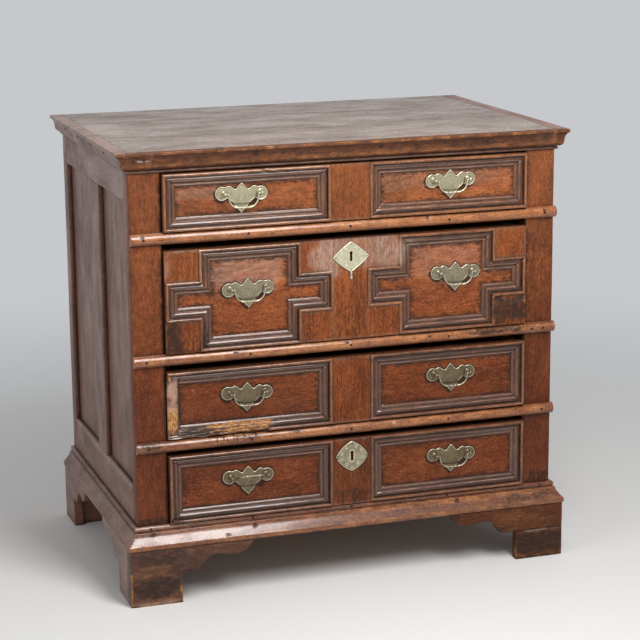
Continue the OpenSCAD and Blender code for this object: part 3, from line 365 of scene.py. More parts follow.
# Wrought iron, black from handling and rust: dark, rough and barely shiny
def blackIron(name):
    material, tree = newMaterial(name)
    place = add(tree, "ShaderNodeTexCoord").outputs["Object"]
    cloud = add(tree, "ShaderNodeTexNoise", {"Vector": place, "Scale": 160, "Detail": 4}).outputs["Fac"]
    tone = blend(tree, remap(tree, cloud, 0.4, 0.65), linearColour("#2a2624"), linearColour("#4b3527"))
    bump = add(tree, "ShaderNodeBump", {"Height": cloud, "Strength": 0.4, "Distance": 0.001}).outputs["Normal"]
    shader = add(tree, "ShaderNodeBsdfPrincipled", {"Base Color": tone, "Roughness": 0.6, "Metallic": 0.7, "Normal": bump})
    add(tree, "ShaderNodeOutputMaterial", {"Surface": shader.outputs[0]})
    return material


finishes = {name: oak(name) for name in oakFinishes}
finishes.update({name: oldBrass(name) for name in brassFinishes})
finishes["iron"] = blackIron("blackIron")
print("materials made")


# Aged copies of the carcass and drawer boards

def giveFinish(piece, finish):
    piece.data.materials.clear()
    piece.data.materials.append(finishes[finish])


def copyNode(node, name):
    piece = nodes[node].copy()
    piece.data = nodes[node].data.copy()
    piece.name = name
    piece.data.name = name
    for key in list(piece.keys()):
        del piece[key]
    piece.parent = None
    bpy.context.scene.collection.objects.link(piece)
    work = bmesh.new()
    work.from_mesh(piece.data)
    bmesh.ops.remove_doubles(work, verts=work.verts, dist=0.00001)
    bmesh.ops.dissolve_limit(work, angle_limit=math.radians(0.6), verts=work.verts, edges=work.edges)
    work.to_mesh(piece.data)
    work.free()
    return piece


def roundArrises(piece, width, least):
    work = bmesh.new()
    work.from_mesh(piece.data)
    sharp = [e for e in work.edges if len(e.link_faces) == 2 and e.is_convex and e.calc_face_angle(0) > math.radians(40)
             and e.calc_length() > least * mm]
    bmesh.ops.bevel(work, geom=sharp, offset=width * mm, offset_type="OFFSET", segments=2, profile=0.5, affect="EDGES",
                    clamp_overlap=False)
    work.to_mesh(piece.data)
    work.free()


def cutAcross(piece, steps, low=None, high=None):  # edge loops every so many mm along x, y and z, between two corners
    work = bmesh.new()
    work.from_mesh(piece.data)
    for axis, step in enumerate(steps):
        if not step:
            continue
        across = Vector([float(k == axis) for k in range(3)])
        start = low[axis] if low else min(v.co[axis] for v in work.verts)
        end = high[axis] if low else max(v.co[axis] for v in work.verts)
        count = int((end - start) / (step * mm))
        region = work.verts[:] + work.edges[:] + work.faces[:]
        if low:
            faces = [f for f in work.faces if all(min(v.co[a] for v in f.verts) < high[a]
                                                  and max(v.co[a] for v in f.verts) > low[a] for a in range(3))]
            region = list({v for f in faces for v in f.verts}) + list({e for f in faces for e in f.edges}) + faces
        for k in range(1, count):
            place = across * (start + (end - start) * k / count)
            region = bmesh.ops.bisect_plane(work, geom=region, dist=0.00001, plane_co=place, plane_no=across)["geom"]
    work.to_mesh(piece.data)
    work.free()


def corner(x, y, z):  # a place given in mm from the floor, the middle and the front of the stiles
    return Vector((x * mm, faceY + y * mm, z * mm))


def placesOf(piece):  # the vertices' places in mm, as corner takes them
    flat = numpy.empty(len(piece.data.vertices) * 3, dtype="f")
    piece.data.vertices.foreach_get("co", flat)
    places = flat.reshape(-1, 3) / mm
    places[:, 1] -= faceY / mm
    return places


def writePlaces(piece, places):
    places = places.copy()
    places[:, 1] += faceY / mm
    piece.data.vertices.foreach_set("co", (places * mm).astype("f").ravel())
    piece.data.update()


def writeMark(piece, kind, amount):  # keeps the stronger of the old mark and the new one
    layer = piece.data.attributes.get(kind)
    if layer:
        old = numpy.empty(len(amount), dtype="f")
        layer.data.foreach_get("value", old)
        amount = numpy.maximum(old, amount)
    else:
        layer = piece.data.attributes.new(kind, "FLOAT", "POINT")
    layer.data.foreach_set("value", numpy.asarray(amount, dtype="f"))


def spotted(places, spots):  # how much each place lies in spots of (x, y, z, half sizes, strength), all in mm
    amount = numpy.zeros(len(places))
    for x, y, z, a, b, c, strength in spots:
        far = ((abs(places - (x, y, z)) / (a, b, c)) ** 3).sum(axis=1) ** (1 / 3)
        for i in numpy.nonzero(far < 1.7)[0]:  # no stain has an even edge
            px, py, pz = places[i]
            far[i] += 0.45 * noise.noise((px / 24, py / 24, pz / 24)) + 0.25 * noise.noise((px / 8, 5, pz / 8))
        amount = numpy.maximum(amount, strength * numpy.clip((1.25 - far) / 0.5, 0, 1))
    return amount


def paint(piece, marks):
    places = placesOf(piece)
    for kind, spots in marks.items():
        writeMark(piece, kind, spotted(places, spots))


def ramp(low, high, values):
    t = numpy.clip((values - low) / (high - low), 0, 1)
    return t * t * (3 - 2 * t)


def looseParts(mesh):
    parent = list(range(len(mesh.vertices)))

    def root(i):
        while parent[i] != i:
            parent[i] = parent[parent[i]]
            i = parent[i]
        return i
    for edge in mesh.edges:
        a, b = root(edge.vertices[0]), root(edge.vertices[1])
        if a != b:
            parent[a] = b
    parts = {}
    for i in range(len(parent)):
        parts.setdefault(root(i), []).append(i)
    return list(parts.values())


def layGrain(piece, choose=None):  # writes a place on its own board for each vertex
    mesh = piece.data
    layer = mesh.attributes.new("grain", "FLOAT_VECTOR", "POINT")
    for part in looseParts(mesh):
        points = [mesh.vertices[i].co for i in part]
        low = [min(p[k] for p in points) for k in range(3)]
        high = [max(p[k] for p in points) for k in range(3)]
        middle = [(low[k] + high[k]) / 2 for k in range(3)]
        size = [high[k] - low[k] for k in range(3)]
        along = choose(low, high) if choose else size.index(max(size))
        a, b = [k for k in range(3) if k != along]
        shift = (random.uniform(-5, 5), random.choice((-1, 1)) * random.uniform(0.03, 0.09),
                 random.choice((-1, 1)) * random.uniform(0.02, 0.12))
        for i in part:
            co = mesh.vertices[i].co
            layer.data[i].vector = (co[along] + shift[0], co[a] - middle[a] + shift[1], co[b] - middle[b] + shift[2])


def swayAndWear(piece, sway, wear):  # hand-made boards aren't straight, and their corners are knocked
    work = bmesh.new()
    work.from_mesh(piece.data)
    work.normal_update()
    moves = []
    for v in work.verts:
        bend = noise.noise_vector(v.co * 5 + Vector((3, 1, 7))) * sway * mm
        bulge = 0
        if wear and len(v.link_edges):
            mean = Vector((0, 0, 0))
            for e in v.link_edges:
                mean += (e.other_vert(v).co - v.co).normalized()
            bulge = max(0, -mean.dot(v.normal) / len(v.link_edges))
        knock = max(0, noise.noise(v.co * 45) + 0.15) * wear * mm * min(1, bulge * 4)
        moves.append(bend - v.normal * knock)
    for v, move in zip(work.verts, moves):
        v.co += move
    work.to_mesh(piece.data)
    work.free()


def keepInside(piece):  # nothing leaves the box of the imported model
    flat = numpy.empty(len(piece.data.vertices) * 3, dtype="f")
    piece.data.vertices.foreach_get("co", flat)
    kept = numpy.clip(flat.reshape(-1, 3), numpy.array(cadBox[0]), numpy.array(cadBox[1]))
    piece.data.vertices.foreach_set("co", kept.astype("f").ravel())
    piece.data.update()


def finishPiece(piece, node, material):
    keepInside(piece)
    giveFinish(piece, material)
    makeActive(piece)
    bpy.ops.object.shade_smooth_by_angle(angle=math.radians(38))
    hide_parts(node)
    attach(piece, bodyOf[node])


def agedBoards(node, name, material, arris=1.2, least=16, steps=(40, 40, 40), sway=0.5, wear=0.6, choose=None, change=None,
               finer=()):
    piece = copyNode(node, name)
    if arris:
        roundArrises(piece, arris, least)
    cutAcross(piece, steps)
    for closer, low, high in finer:
        cutAcross(piece, closer, corner(*low), corner(*high))
    layGrain(piece, choose)
    swayAndWear(piece, sway, wear)
    if change:
        change(piece)
    finishPiece(piece, node, material)
    return piece


# Carcass: name, finish and marks of each piece; the marks' places are in mm
carcass = {
    "front_stile_left": ("stileLeft", "frontOak", {
        "dim": [(-420, 0, 820, 60, 20, 80, 0.8), (-420, 0, 600, 60, 20, 130, 0.55), (-420, 0, 300, 60, 20, 190, 0.42)],
        # soot at x -386 is a painted shadow line in the gap beside the drawers; the bands at the rails and above the
        # plinth darken the stile there
        "sootAndShade": [(-386, 0, 500, 3, 20, 480, 0.75), (-418, 0, 735, 34, 20, 8, 0.4), (-418, 0, 496, 34, 20, 8, 0.5),
                 (-418, 0, 312, 34, 20, 9, 0.5), (-418, 0, 168, 36, 20, 16, 0.6)]}),
    "front_stile_right": ("stileRight", "frontOak", {
        "dim": [(420, 0, 820, 60, 20, 80, 0.4), (420, 0, 560, 60, 20, 190, 0.8), (420, 0, 250, 60, 20, 130, 0.7)],
        # soot at x 386 is a painted shadow line in the gap beside the drawers
        "sootAndShade": [(386, 0, 500, 3, 20, 480, 0.8), (418, 0, 170, 36, 20, 18, 0.5), (448, 0, 400, 5, 20, 150, 0.4)]}),
    "top_rail": ("topRail", "frontOak", {}),
    "bottom_rail": ("bottomRail", "frontOak", {}),
    "drawer_rails": ("railsBetween", "frontOak", {}),
    "rear_stiles": ("rearStiles", "sideOak", {"worm": [(0, 590, 500, 470, 40, 420, 0.8)]}),
    "side_top_rails": ("sideTopRails", "sideOak", {"pale": [(-450, 260, 860, 12, 200, 26, 0.25)]}),
    # the thin pale line along the bottom side rail's top edge is a painted highlight
    "side_bottom_rails": ("sideBottomRails", "sideOak", {"worm": [(-450, 250, 190, 20, 260, 60, 0.6)],
                                                         "pale": [(-448, 280, 234, 12, 300, 4, 0.5)]}),
    "side_muntins": ("sideMuntins", "sideOak", {"worm": [(-450, 300, 500, 20, 60, 330, 0.6)]}),
    "side_panels": ("sidePanels", "sideOak", {"sootAndShade": [(-440, 60, 240, 20, 50, 60, 0.3)]}),
    "back_rails": ("backRails", "sideOak", {}), "back_boards": ("backBoards", "sideOak", {}),
    "drawer_runners": ("runners", "innerOak", {}),
}
for node, (name, material, marks) in carcass.items():
    steps = (8, 0, 8) if node.startswith("front_stile") else (30, 14, 14) if node.startswith("side") else (40, 40, 40)
    sway = 0.05 if node == "drawer_rails" else 0.5  # the bolts slide up into these
    agedBoards(node, name, material, steps=steps, sway=sway, change=lambda piece, marks=marks: paint(piece, marks))
print("carcass boards aged")

# Top: three boards with dirty joints, a worn pale end and a rubbed front arris
topMarks = {
    "sootAndShade": [(0, 197.3, 917, 460, 2.2, 6, 0.62), (0, 427.7, 917, 460, 2.2, 6, 0.62), (-120, 300, 917, 110, 1.6, 5, 0.5),
             (240, 120, 917, 150, 1.5, 5, 0.5), (-265, 2, 917, 5, 6, 8, 1), (-250, 360, 917, 90, 14, 5, 0.25),
             (120, 520, 917, 240, 10, 5, 0.25), (-60, 70, 917, 260, 9, 5, 0.2)],
    "pale": [(-430, 330, 917, 45, 95, 5, 0.75), (-330, 330, 917, 90, 26, 5, 0.4), (-134, 212, 917, 60, 5, 5, 0.75),
             (-30, 215, 917, 70, 3, 5, 0.5), (60, 300, 917, 200, 30, 5, 0.2), (-200, 100, 917, 150, 22, 5, 0.3)],
    "rub": [(0, 2, 916, 460, 7, 4, 0.6)], "worm": [(-420, 300, 917, 30, 280, 6, 0.6)],
}
agedBoards("top_boards", "topBoards", "topOak", arris=1.4, steps=(15, 12, 0), sway=0.7, wear=0.9,
           change=lambda piece: paint(piece, topMarks),
           finer=[((0, 1.2, 0), (-460, 190, 900), (460, 204, 930)), ((0, 1.2, 0), (-460, 421, 900), (460, 435, 930)),
                  ((0, 1.5, 0), (-460, -2, 900), (460, 12, 930))])

# Mouldings round the carcass
corniceMarks = {
    "dim": [(0, -16, 892, 620, 60, 60, 1.3)], "matt": [(0, -16, 892, 620, 60, 60, 0.9)],
    "rub": [(0, -18, 914, 480, 6, 2.5, 0.7), (0, -9, 889, 480, 8, 2, 0.4)],
    # the long faint pale line on the lower astragal is a painted highlight
    "pale": [(-419, -16, 900, 14, 8, 1.6, 0.9), (0, -4, 878, 480, 8, 4, 0.15)],
    "sootAndShade": [(-425, -16, 900, 26, 8, 9, 0.5), (-195, -16, 903, 5, 8, 5, 1), (65, -16, 902, 5, 8, 4, 0.9),
             (0, -8, 888, 480, 9, 3, 0.3), (-120, -16, 899, 60, 8, 9, 0.4), (260, -16, 899, 120, 8, 9, 0.42)],
}
halfRoundMarks = {
    "rub": [(0, -12, 748, 470, 6, 8, 0.6), (0, -12, 504, 470, 6, 8, 0.62), (0, -12, 327, 470, 6, 8, 0.65)],
    "sootAndShade": [(-428, -12, 752, 4, 9, 4, 1), (-235, -12, 756, 4, 9, 3, 1), (-52, -12, 756, 3, 9, 3, 1), (166, -12, 752, 4, 9, 3, 1),
             (425, -10, 750, 4, 9, 3, 1), (-390, -12, 744, 9, 9, 3, 0.6), (-170, -12, 742, 12, 9, 2, 0.6),
             (-243, -12, 506, 4, 9, 3, 1), (-7, -12, 506, 4, 9, 3, 1), (171, -12, 504, 4, 9, 3, 1), (400, -12, 501, 4, 9, 3, 1),
             (330, -12, 505, 60, 9, 8, 0.6), (-420, -12, 330, 26, 9, 7, 0.5), (-120, -12, 331, 20, 9, 5, 0.6)]
            + [(x, -10, z, 1.8, 9, 5, 0.9) for x, z in ((-284, 329), (-272, 333), (-263, 328), (-251, 332), (-243, 327), (-230, 333),
                                                        (-219, 329), (-204, 333))],
    "bare": [(-240, -9, 335, 48, 9, 2.5, 0.55), (350, -10, 505, 34, 9, 3, 0.6), (394, -12, 503, 16, 9, 2, 0.6)],
    "pale": [(94, -12, 328, 3, 6, 2.5, 1), (-418, -8, 757, 36, 8, 2, 0.5), (-418, -8, 514, 36, 8, 2, 0.5)],
}
plinthMarks = {
    "sootAndShade": [(-425, -20, 145, 9, 12, 5, 0.9), (-267, -20, 132, 7, 12, 3, 0.9), (-208, -12, 142, 6, 10, 4, 1), (235, -16, 144, 5, 10, 4, 1),
             (400, -16, 140, 60, 12, 10, 0.4), (-460, -22, 124, 20, 12, 6, 0.3)],
    "rub": [(0, -25, 122, 490, 5, 6, 0.45), (180, -14, 146, 260, 8, 5, 0.6), (-470, -25, 127, 8, 6, 3, 0.8)],
    # pale on the plinth's left slope is painted sheen, and the pale line on its top bead is a painted highlight
    "dim": [(330, -16, 140, 170, 24, 24, 0.4)], "pale": [(-330, -18, 140, 140, 12, 9, 0.2), (-400, -6, 160, 60, 5, 3, 0.5)],
}
dents = {
    "cornice_front": [(-195, -15, 903, 4, 2.0), (65, -15, 902, 4, 1.6), (-419, -14, 900, 6, 1.2), (-265, -18, 914, 5, 2.2),
                      (210, -18, 913, 4, 1.2)],
    "rail_mouldings": [(-428, -12, 752, 4, 1.8), (-235, -12, 756, 4, 1.4), (-52, -11, 756, 3, 1.2), (166, -11, 752, 4, 1.4),
                       (-390, -12, 743, 7, 0.9), (-243, -12, 506, 4, 1.5), (-7, -12, 506, 4, 1.4), (-200, -9, 335, 5, 0.9),
                       (-240, -9, 336, 6, 1.1), (-272, -9, 336, 5, 1), (-222, -10, 333, 4, 1), (350, -11, 505, 10, 0.9)],
    "plinth_front": [(-425, -19, 145, 7, 1.4), (-267, -21, 132, 5, 1.2), (-208, -11, 142, 6, 2.4), (235, -15, 144, 4, 1.4)],
}


def dent(piece, blows):  # knocks hollows of (x, y, z, radius, depth) into the surface, in mm
    places = placesOf(piece)
    normals = numpy.array([v.normal[:] for v in piece.data.vertices])
    for x, y, z, radius, depth in blows:
        far = numpy.linalg.norm(places - (x, y, z), axis=1) / radius
        places -= normals * (depth * numpy.clip(1 - far ** 2, 0, 1))[:, None]
    writePlaces(piece, places)


mouldings = {"cornice_front": ("corniceFront", "mouldingOak", corniceMarks),
             "cornice_left": ("corniceLeft", "sideOak", {"worm": [(-465, 280, 900, 30, 320, 30, 1)],
                                                         "pale": [(-465, 280, 914, 20, 320, 8, 0.5)]}),
             "cornice_right": ("corniceRight", "sideOak", {}), "plinth_front": ("plinthFront", "mouldingOak", plinthMarks),
             "plinth_left": ("plinthLeft", "sideOak", {"rub": [(-472, 250, 122, 8, 300, 5, 0.3)],
                                                       "pale": [(-465, 250, 140, 20, 300, 14, 0.2)]}),
             "plinth_right": ("plinthRight", "sideOak", {}), "rail_mouldings": ("halfRounds", "mouldingOak", halfRoundMarks)}
for node, (name, material, marks) in mouldings.items():
    along = (3.5, 0, 0) if node in dents else (0, 8, 0)

    def change(piece, node=node, marks=marks):
        paint(piece, marks)
        dent(piece, dents.get(node, []))
    agedBoards(node, name, material, arris=0.6, least=16, steps=along, wear=0.5, change=change)
print("mouldings aged")

# Feet: black dirt and floor polish on the front boards, corners worn to bare wood near the floor
feet = {
    "foot_front_left": ("footFrontLeft", "mouldingOak", {
        "sootAndShade": [(-420, -23, 100, 70, 8, 16, 0.45), (-424, -23, 38, 52, 8, 24, 0.6), (-345, -23, 66, 36, 8, 16, 0.42),
                 (-390, -23, 60, 90, 8, 60, 0.3), (-474, 60, 60, 8, 80, 70, 0.25)],
        "dim": [(-380, -23, 60, 200, 30, 100, 1.4)], "matt": [(-380, -23, 60, 200, 30, 100, 0.6)],
        "rub": [(-440, -23, 72, 40, 8, 12, 0.25), (-280, -23, 106, 80, 8, 8, 0.2), (-420, -23, 7, 60, 12, 6, 0.45)],
        "bare": [(-473, -23, 30, 5, 5, 42, 0.62), (-473, -23, 66, 4, 4, 9, 0.7), (-368, -23, 20, 6, 8, 22, 0.55),
                 (-420, -23, 2, 60, 12, 5, 0.5)],
        "pale": [(-420, -23, 5, 60, 12, 4, 0.3)]}),
    "foot_front_right": ("footFrontRight", "mouldingOak", {
        "sootAndShade": [(420, -23, 30, 60, 8, 32, 0.62), (345, -23, 72, 22, 8, 14, 0.4), (225, -23, 110, 14, 8, 10, 0.5)],
        "dim": [(360, -23, 70, 260, 30, 110, 1)], "matt": [(360, -23, 70, 260, 30, 110, 1)],
        "rub": [(380, -23, 90, 80, 8, 22, 0.15), (415, -23, 8, 56, 12, 6, 0.3)],
        "pale": [(425, -23, 62, 40, 8, 1.5, 0.4)], "bare": [(366, -23, 16, 4, 10, 18, 0.5), (414, -23, 2, 56, 12, 4, 0.4)]}),
    "foot_rear_left": ("footRearLeft", "sideOak", {"bare": [(-473, 560, 4, 10, 60, 5, 0.5)]}),
    "foot_rear_right": ("footRearRight", "sideOak", {"bare": [(473, 560, 4, 10, 60, 5, 0.5)]}),
}


def standOnFloor(piece, marks):
    paint(piece, marks)
    places = placesOf(piece)
    places[:, 2] = numpy.maximum(places[:, 2], 0)
    writePlaces(piece, places)


for node, (name, material, marks) in feet.items():
    agedBoards(node, name, material, arris=1.5, least=5, steps=(6, 6, 6), wear=1.2,
               change=lambda piece, marks=marks: standOnFloor(piece, marks))
print("feet aged")

# Drawer fronts: field between the strips of each, as left, right, bottom and top in mm
fields = {
    1: [(-358, -67, 785, 845), (69, 358, 785, 845)],
    2: [(-289, -131, 541, 693), (-357, -63, 604, 630), (131, 289, 541, 693), (63, 357, 604, 630)],
    3: [(-358, -67, 365, 449), (69, 358, 365, 449)],
    4: [(-358, -67, 190, 276), (69, 358, 190, 276)],
}
frontMarks = {
    # pale on drawers 1 and 2 is painted sheen; the tiny pale mark on drawer 3 is a painted glint
    1: {"pale": [(-300, 0, 830, 60, 9, 12, 0.2), (210, 0, 830, 140, 9, 20, 0.12)],
        "dim": [(-220, 0, 812, 170, 9, 50, 0.45)]},
    2: {"pale": [(-225, 0, 668, 90, 9, 36, 0.32), (210, 0, 660, 100, 9, 40, 0.16)]},
    3: {"dim": [(-230, 0, 405, 150, 9, 60, 0.32)], "rub": [(-130, 0, 405, 90, 9, 30, 0.12)],
        "pale": [(-329, 0, 434, 1.4, 9, 1.4, 1)]},
    4: {"rub": [(140, 0, 232, 110, 9, 30, 0.15)]},
}
# Applied strips and blocks: breaks are left, right, bottom and top of a place, how far it still stands out, and how
# rough and which way (0 along x, 2 along z) the wood broke there, in mm
stripMarks = {
    1: {"dim": [(1, -9, 815, 50, 12, 70, 0.2)]},
    2: {"sootAndShade": [(-366, -9, 545, 19, 14, 36, 0.62), (-306, -9, 545, 9, 14, 36, 0.5), (-345, -9, 519, 40, 14, 6, 0.5),
                 (350, -9, 545, 38, 14, 32, 0.66), (1, -9, 530, 34, 12, 16, 0.35), (-70, -9, 690, 10, 12, 30, 0.3)],
        "rub": [(350, -13, 560, 34, 12, 4, 0.5), (-312, -12, 688, 3, 6, 34, 0.6)], "dim": [(-318, -9, 690, 4, 12, 30, 0.7)],
        "bare": [(352, -9, 548, 26, 12, 3, 0.45), (344, -9, 536, 30, 12, 2, 0.45)],
        # pale at the top middle is painted sheen, and along the top-left block's top edge a painted highlight line
        "pale": [(30, -9, 694, 100, 12, 30, 0.36), (-50, -9, 685, 34, 12, 34, 0.6), (-350, -9, 717, 34, 10, 2.5, 0.7),
                 (-380, -9, 690, 2.5, 12, 30, 0.4),
                 (85, -9, 690, 34, 12, 30, 0.5)]},
    3: {"bare": [(-373, -3, 379, 10.5, 9, 25, 1), (-373, -3, 432, 10.5, 9, 26, 0.42), (-236, -8, 357, 64, 12, 5, 1),
                 (-228, -8, 347, 54, 12, 4, 0.9),
                 (-380, -6, 463, 4, 12, 6, 0.8)],
        "rub": [(-373, -3, 432, 10.5, 9, 26, 0.8)],
        "pale": [(-373, -3, 432, 11, 9, 32, 0.55), (46, -13, 472, 3, 5, 3, 1), (-328, -6, 350, 28, 12, 7, 0.25)],
        "sootAndShade": [(-360, -3, 410, 3.4, 9, 60, 0.7), (-330, -6, 349, 34, 12, 9, 0.62), (-374, -3, 441, 1.6, 9, 1.6, 1),
                 (-378, -3, 421, 1.6, 9, 1.6, 1), (-372, -3, 403, 12, 9, 1.4, 0.4), (-250, -6, 352, 52, 9, 1.2, 0.7),
                 (-372, -3, 352, 14, 9, 7, 0.4)]},
    4: {"sootAndShade": [(1, -9, 180, 40, 12, 18, 0.45), (-372, -9, 172, 16, 14, 12, 0.45)], "rub": [(1, -9, 250, 26, 12, 30, 0.1)],
        "dim": [(1, -9, 235, 50, 12, 80, 0.45)]},
}
breaks = {
    1: [(-180, -168, 865, 874, 9, 1.5, 0)],
    2: [(322, 384, 560, 574, 8.2, 2.2, 0), (-384, -318, 572, 579, 9, 1.6, 0)],
    3: [(-386, -363.5, 344, 458, 3, 0.5, 2), (-386, -300, 336, 357, 5.0, 1.6, 0), (-300, -176, 336, 361, 6.5, 3.6, 0),
        (-30, 0, 470, 478, 8, 2, 0)],
    4: [(-386, -372, 166, 176, 8, 2, 2)],
}


def markFields(piece, i):  # a darker border along the strips round each field, and the marks of each front
    places = placesOf(piece)
    inside = numpy.full(len(places), -100.0)
    for left, right, bottom, top in fields[i]:
        x, z = places[:, 0], places[:, 2]
        inside = numpy.maximum(inside, numpy.minimum.reduce([(x - left) * 0.7, right - x, z - bottom, top - z]))
    writeMark(piece, "sootAndShade", 0.6 * (1 - ramp(-4, 20, inside)))
    paint(piece, frontMarks[i])


def wornStrips(piece, i):
    places = placesOf(piece)
    x, y, z = places.T
    proud, lost = -y, numpy.zeros(len(places), dtype=bool)
    outside, level, upper = numpy.full(len(places), 100.0), numpy.zeros(len(places)), lost
    for left, right, bottom, top in fields[i]:
        beside, above = numpy.maximum(left - x, x - right), numpy.maximum(bottom - z, z - top)
        nearer = numpy.maximum(beside, above) < outside
        level = numpy.where(nearer, above > beside - 0.5, level)
        upper = numpy.where(nearer, (z > top) & (above > beside), upper)
        outside = numpy.minimum(outside, numpy.maximum(beside, above))
    across = 27 - outside
    slope = numpy.interp(across, [18.6, 27], [3.4, 0.8]) + 1.2 * numpy.exp(-((across - 23.6) / 1.5) ** 2)
    proud = numpy.where((across > 18.8) & (proud > 0.5) & (proud < 5), slope, proud)  # reeds worn into one
    grainX = numpy.array([noise.noise((px / 26, i * 7.1, pz / 2.2)) for px, pz in zip(x, z)])
    grainZ = numpy.array([noise.noise((px / 2.2, i * 3.3, pz / 26)) for px, pz in zip(x, z)])
    for left, right, bottom, top, stands, rough, along in breaks[i]:
        fray = (grainX if along == 0 else grainZ) * rough * 1.6
        within = (x > left + fray) & (x < right + fray) & (z > bottom + fray * 0.5) & (z < top + fray * 0.5)
        limit = stands + fray
        lost |= within
        proud = numpy.where(within & (proud > limit), numpy.maximum(limit, 0.4), proud)
    flat = (abs(proud - 9) < 0.7) & (numpy.array([abs(v.normal.y) for v in piece.data.vertices]) > 0.9)
    # across places the painted highlight and shade lines on the reeds; level makes the painted highlight stronger on
    # level strips
    writeMark(piece, "across", numpy.where(flat | lost, -10, across))
    # painted shade under each half-round: the bead and slope of each field's top strip are darker
    writeMark(piece, "sootAndShade", numpy.where((across < 7.5) & (across > 1.2) & upper & ~flat, 0.42 if i > 1 else 0.3, 0))
    writeMark(piece, "level", 0.3 + 0.7 * level)
    writeMark(piece, "dim", numpy.where(flat, 0, numpy.maximum(1 - ramp(8.2, 9.6, proud), 0.6)))
    writeMark(piece, "matt", numpy.where(flat, 1, 0))
    writeMark(piece, "rub", numpy.where(flat, 0, 0.28 * ramp(11.2, 12.4, proud)))
    places[:, 1] = -proud
    writePlaces(piece, places)
    paint(piece, stripMarks[i])
    if i == 3:
        broken = spotted(places, stripMarks[3]["bare"] + stripMarks[3]["pale"])
        layer = piece.data.attributes["dim"]
        old = numpy.empty(len(broken), dtype="f")
        layer.data.foreach_get("value", old)
        layer.data.foreach_set("value", (old * (1 - numpy.clip(broken * 1.4, 0, 1))).astype("f"))


def blocksUpright(low, high):  # broad flat blocks have their fibres upright, strips along their length
    size = [high[k] - low[k] for k in range(3)]
    broad = size[0] > 40 * mm and size[2] > 40 * mm and size[1] < 11 * mm
    return 2 if broad else size.index(max(size))


# Handles of each drawer: x of the left and right one, height of the posts, tilt of each plate in degrees, each drop
handles = {1: {"x": (-223, 219), "z": 826, "tilt": (1.6, -1.0), "drop": (27.4, 24.6), "finish": "paleBrass"},
           2: {"x": (-213, 231), "z": 634, "tilt": (-1.2, 0.8), "drop": (24.6, 24.2), "finish": "greyBrass"},
           3: {"x": (-218.5, 222), "z": 421, "tilt": (2.0, -0.8), "drop": (24.2, 24.6), "finish": "brownBrass"},
           4: {"x": (-219, 224), "z": 246, "tilt": (0.6, 1.6), "drop": (24.6, 24.6), "finish": "brownBrass"}}
finerStrips = {1: [], 2: [((3, 0, 3), (-386, -20, 512), (-314, 0, 582)), ((3, 0, 3), (314, -20, 512), (386, 0, 582))],
               3: [((2.2, 0, 2.2), (-386, -20, 336), (-352, 0, 478)), ((2.2, 0, 2.2), (-352, -20, 336), (-170, 0, 368)),
                   ((3, 0, 3), (-40, -20, 462), (10, 0, 478))], 4: []}
for i in (1, 2, 3, 4):
    prefix = "drawer_%d_" % i
    z = handles[i]["z"]
    agedBoards(prefix + "front", "drawer%dFront" % i, "frontOak", arris=0.8, steps=(6, 0, 6),
               change=lambda piece, i=i: markFields(piece, i),
               finer=[((2.2, 0, 2.2), (x - 60, -1, z - 72), (x + 60, 1, z + 26)) for x in handles[i]["x"]])
    agedBoards(prefix + "mouldings", "drawer%dMouldings" % i, "mouldingOak", arris=0, steps=(7, 0, 7), wear=0.4,
               choose=blocksUpright, change=lambda piece, i=i: wornStrips(piece, i), finer=finerStrips[i])
    agedBoards(prefix + "box", "drawer%dBox" % i, "innerOak", arris=0.8, steps=(60, 60, 60), wear=0.4)
    agedBoards(prefix + "bottom", "drawer%dBottom" % i, "innerOak", arris=0, steps=(0, 0, 0), wear=0)
print("drawers aged")


# Brass castings: flat ones are cut into a fine grid, then rims rise and lines sink on their fronts

def smoothRun(points, steps=4):  # smooth curve through the points
    rows = [numpy.array(p, dtype=float) for p in points]
    out = []
    for i in range(len(rows) - 1):
        a, b, c, d = rows[max(i - 1, 0)], rows[i], rows[i + 1], rows[min(i + 2, len(rows) - 1)]
        for k in range(steps):
            t = k / steps
            out.append(0.5 * (2 * b + (c - a) * t + (2 * a - 5 * b + 4 * c - d) * t * t + (3 * b - a - 3 * c + d) * t ** 3))
    return out + [rows[-1]]


def arcRun(x, z, radius, start, end, steps):
    turns = [math.radians(start + (end - start) * k / steps) for k in range(steps + 1)]
    return [(x + radius * math.cos(t), z + radius * math.sin(t)) for t in turns]


def awayFrom(points, line):  # distance of each point from a run of points
    best = numpy.full(len(points), 1000.0)
    for a, b in zip(line[:-1], line[1:]):
        a, b = numpy.array(a), numpy.array(b)
        share = numpy.clip(((points - a) @ (b - a)) / max((b - a) @ (b - a), 0.000001), 0, 1)
        best = numpy.minimum(best, numpy.linalg.norm(points - a - share[:, None] * (b - a), axis=1))
    return best


def flatCasting(name, outline, thick):  # plate in the xz plane from y = 0 forwards
    bpy.ops.mesh.primitive_circle_add(vertices=len(outline), radius=0.01, fill_type="NGON", rotation=(math.pi / 2, 0, 0))
    piece = bpy.context.object
    piece.name = name
    bpy.ops.object.transform_apply(location=True, rotation=True, scale=True)
    for i, (x, z) in zip(piece.data.polygons[0].vertices, outline):
        piece.data.vertices[i].co = (x * mm, 0, z * mm)
    bpy.ops.object.mode_set(mode="EDIT")
    bpy.ops.mesh.select_all(action="SELECT")
    bpy.ops.mesh.extrude_region_move(TRANSFORM_OT_translate={"value": (0, -thick * mm, 0)})
    bpy.ops.mesh.select_all(action="SELECT")
    bpy.ops.mesh.normals_make_consistent(inside=False)
    bpy.ops.object.mode_set(mode="OBJECT")
    return piece


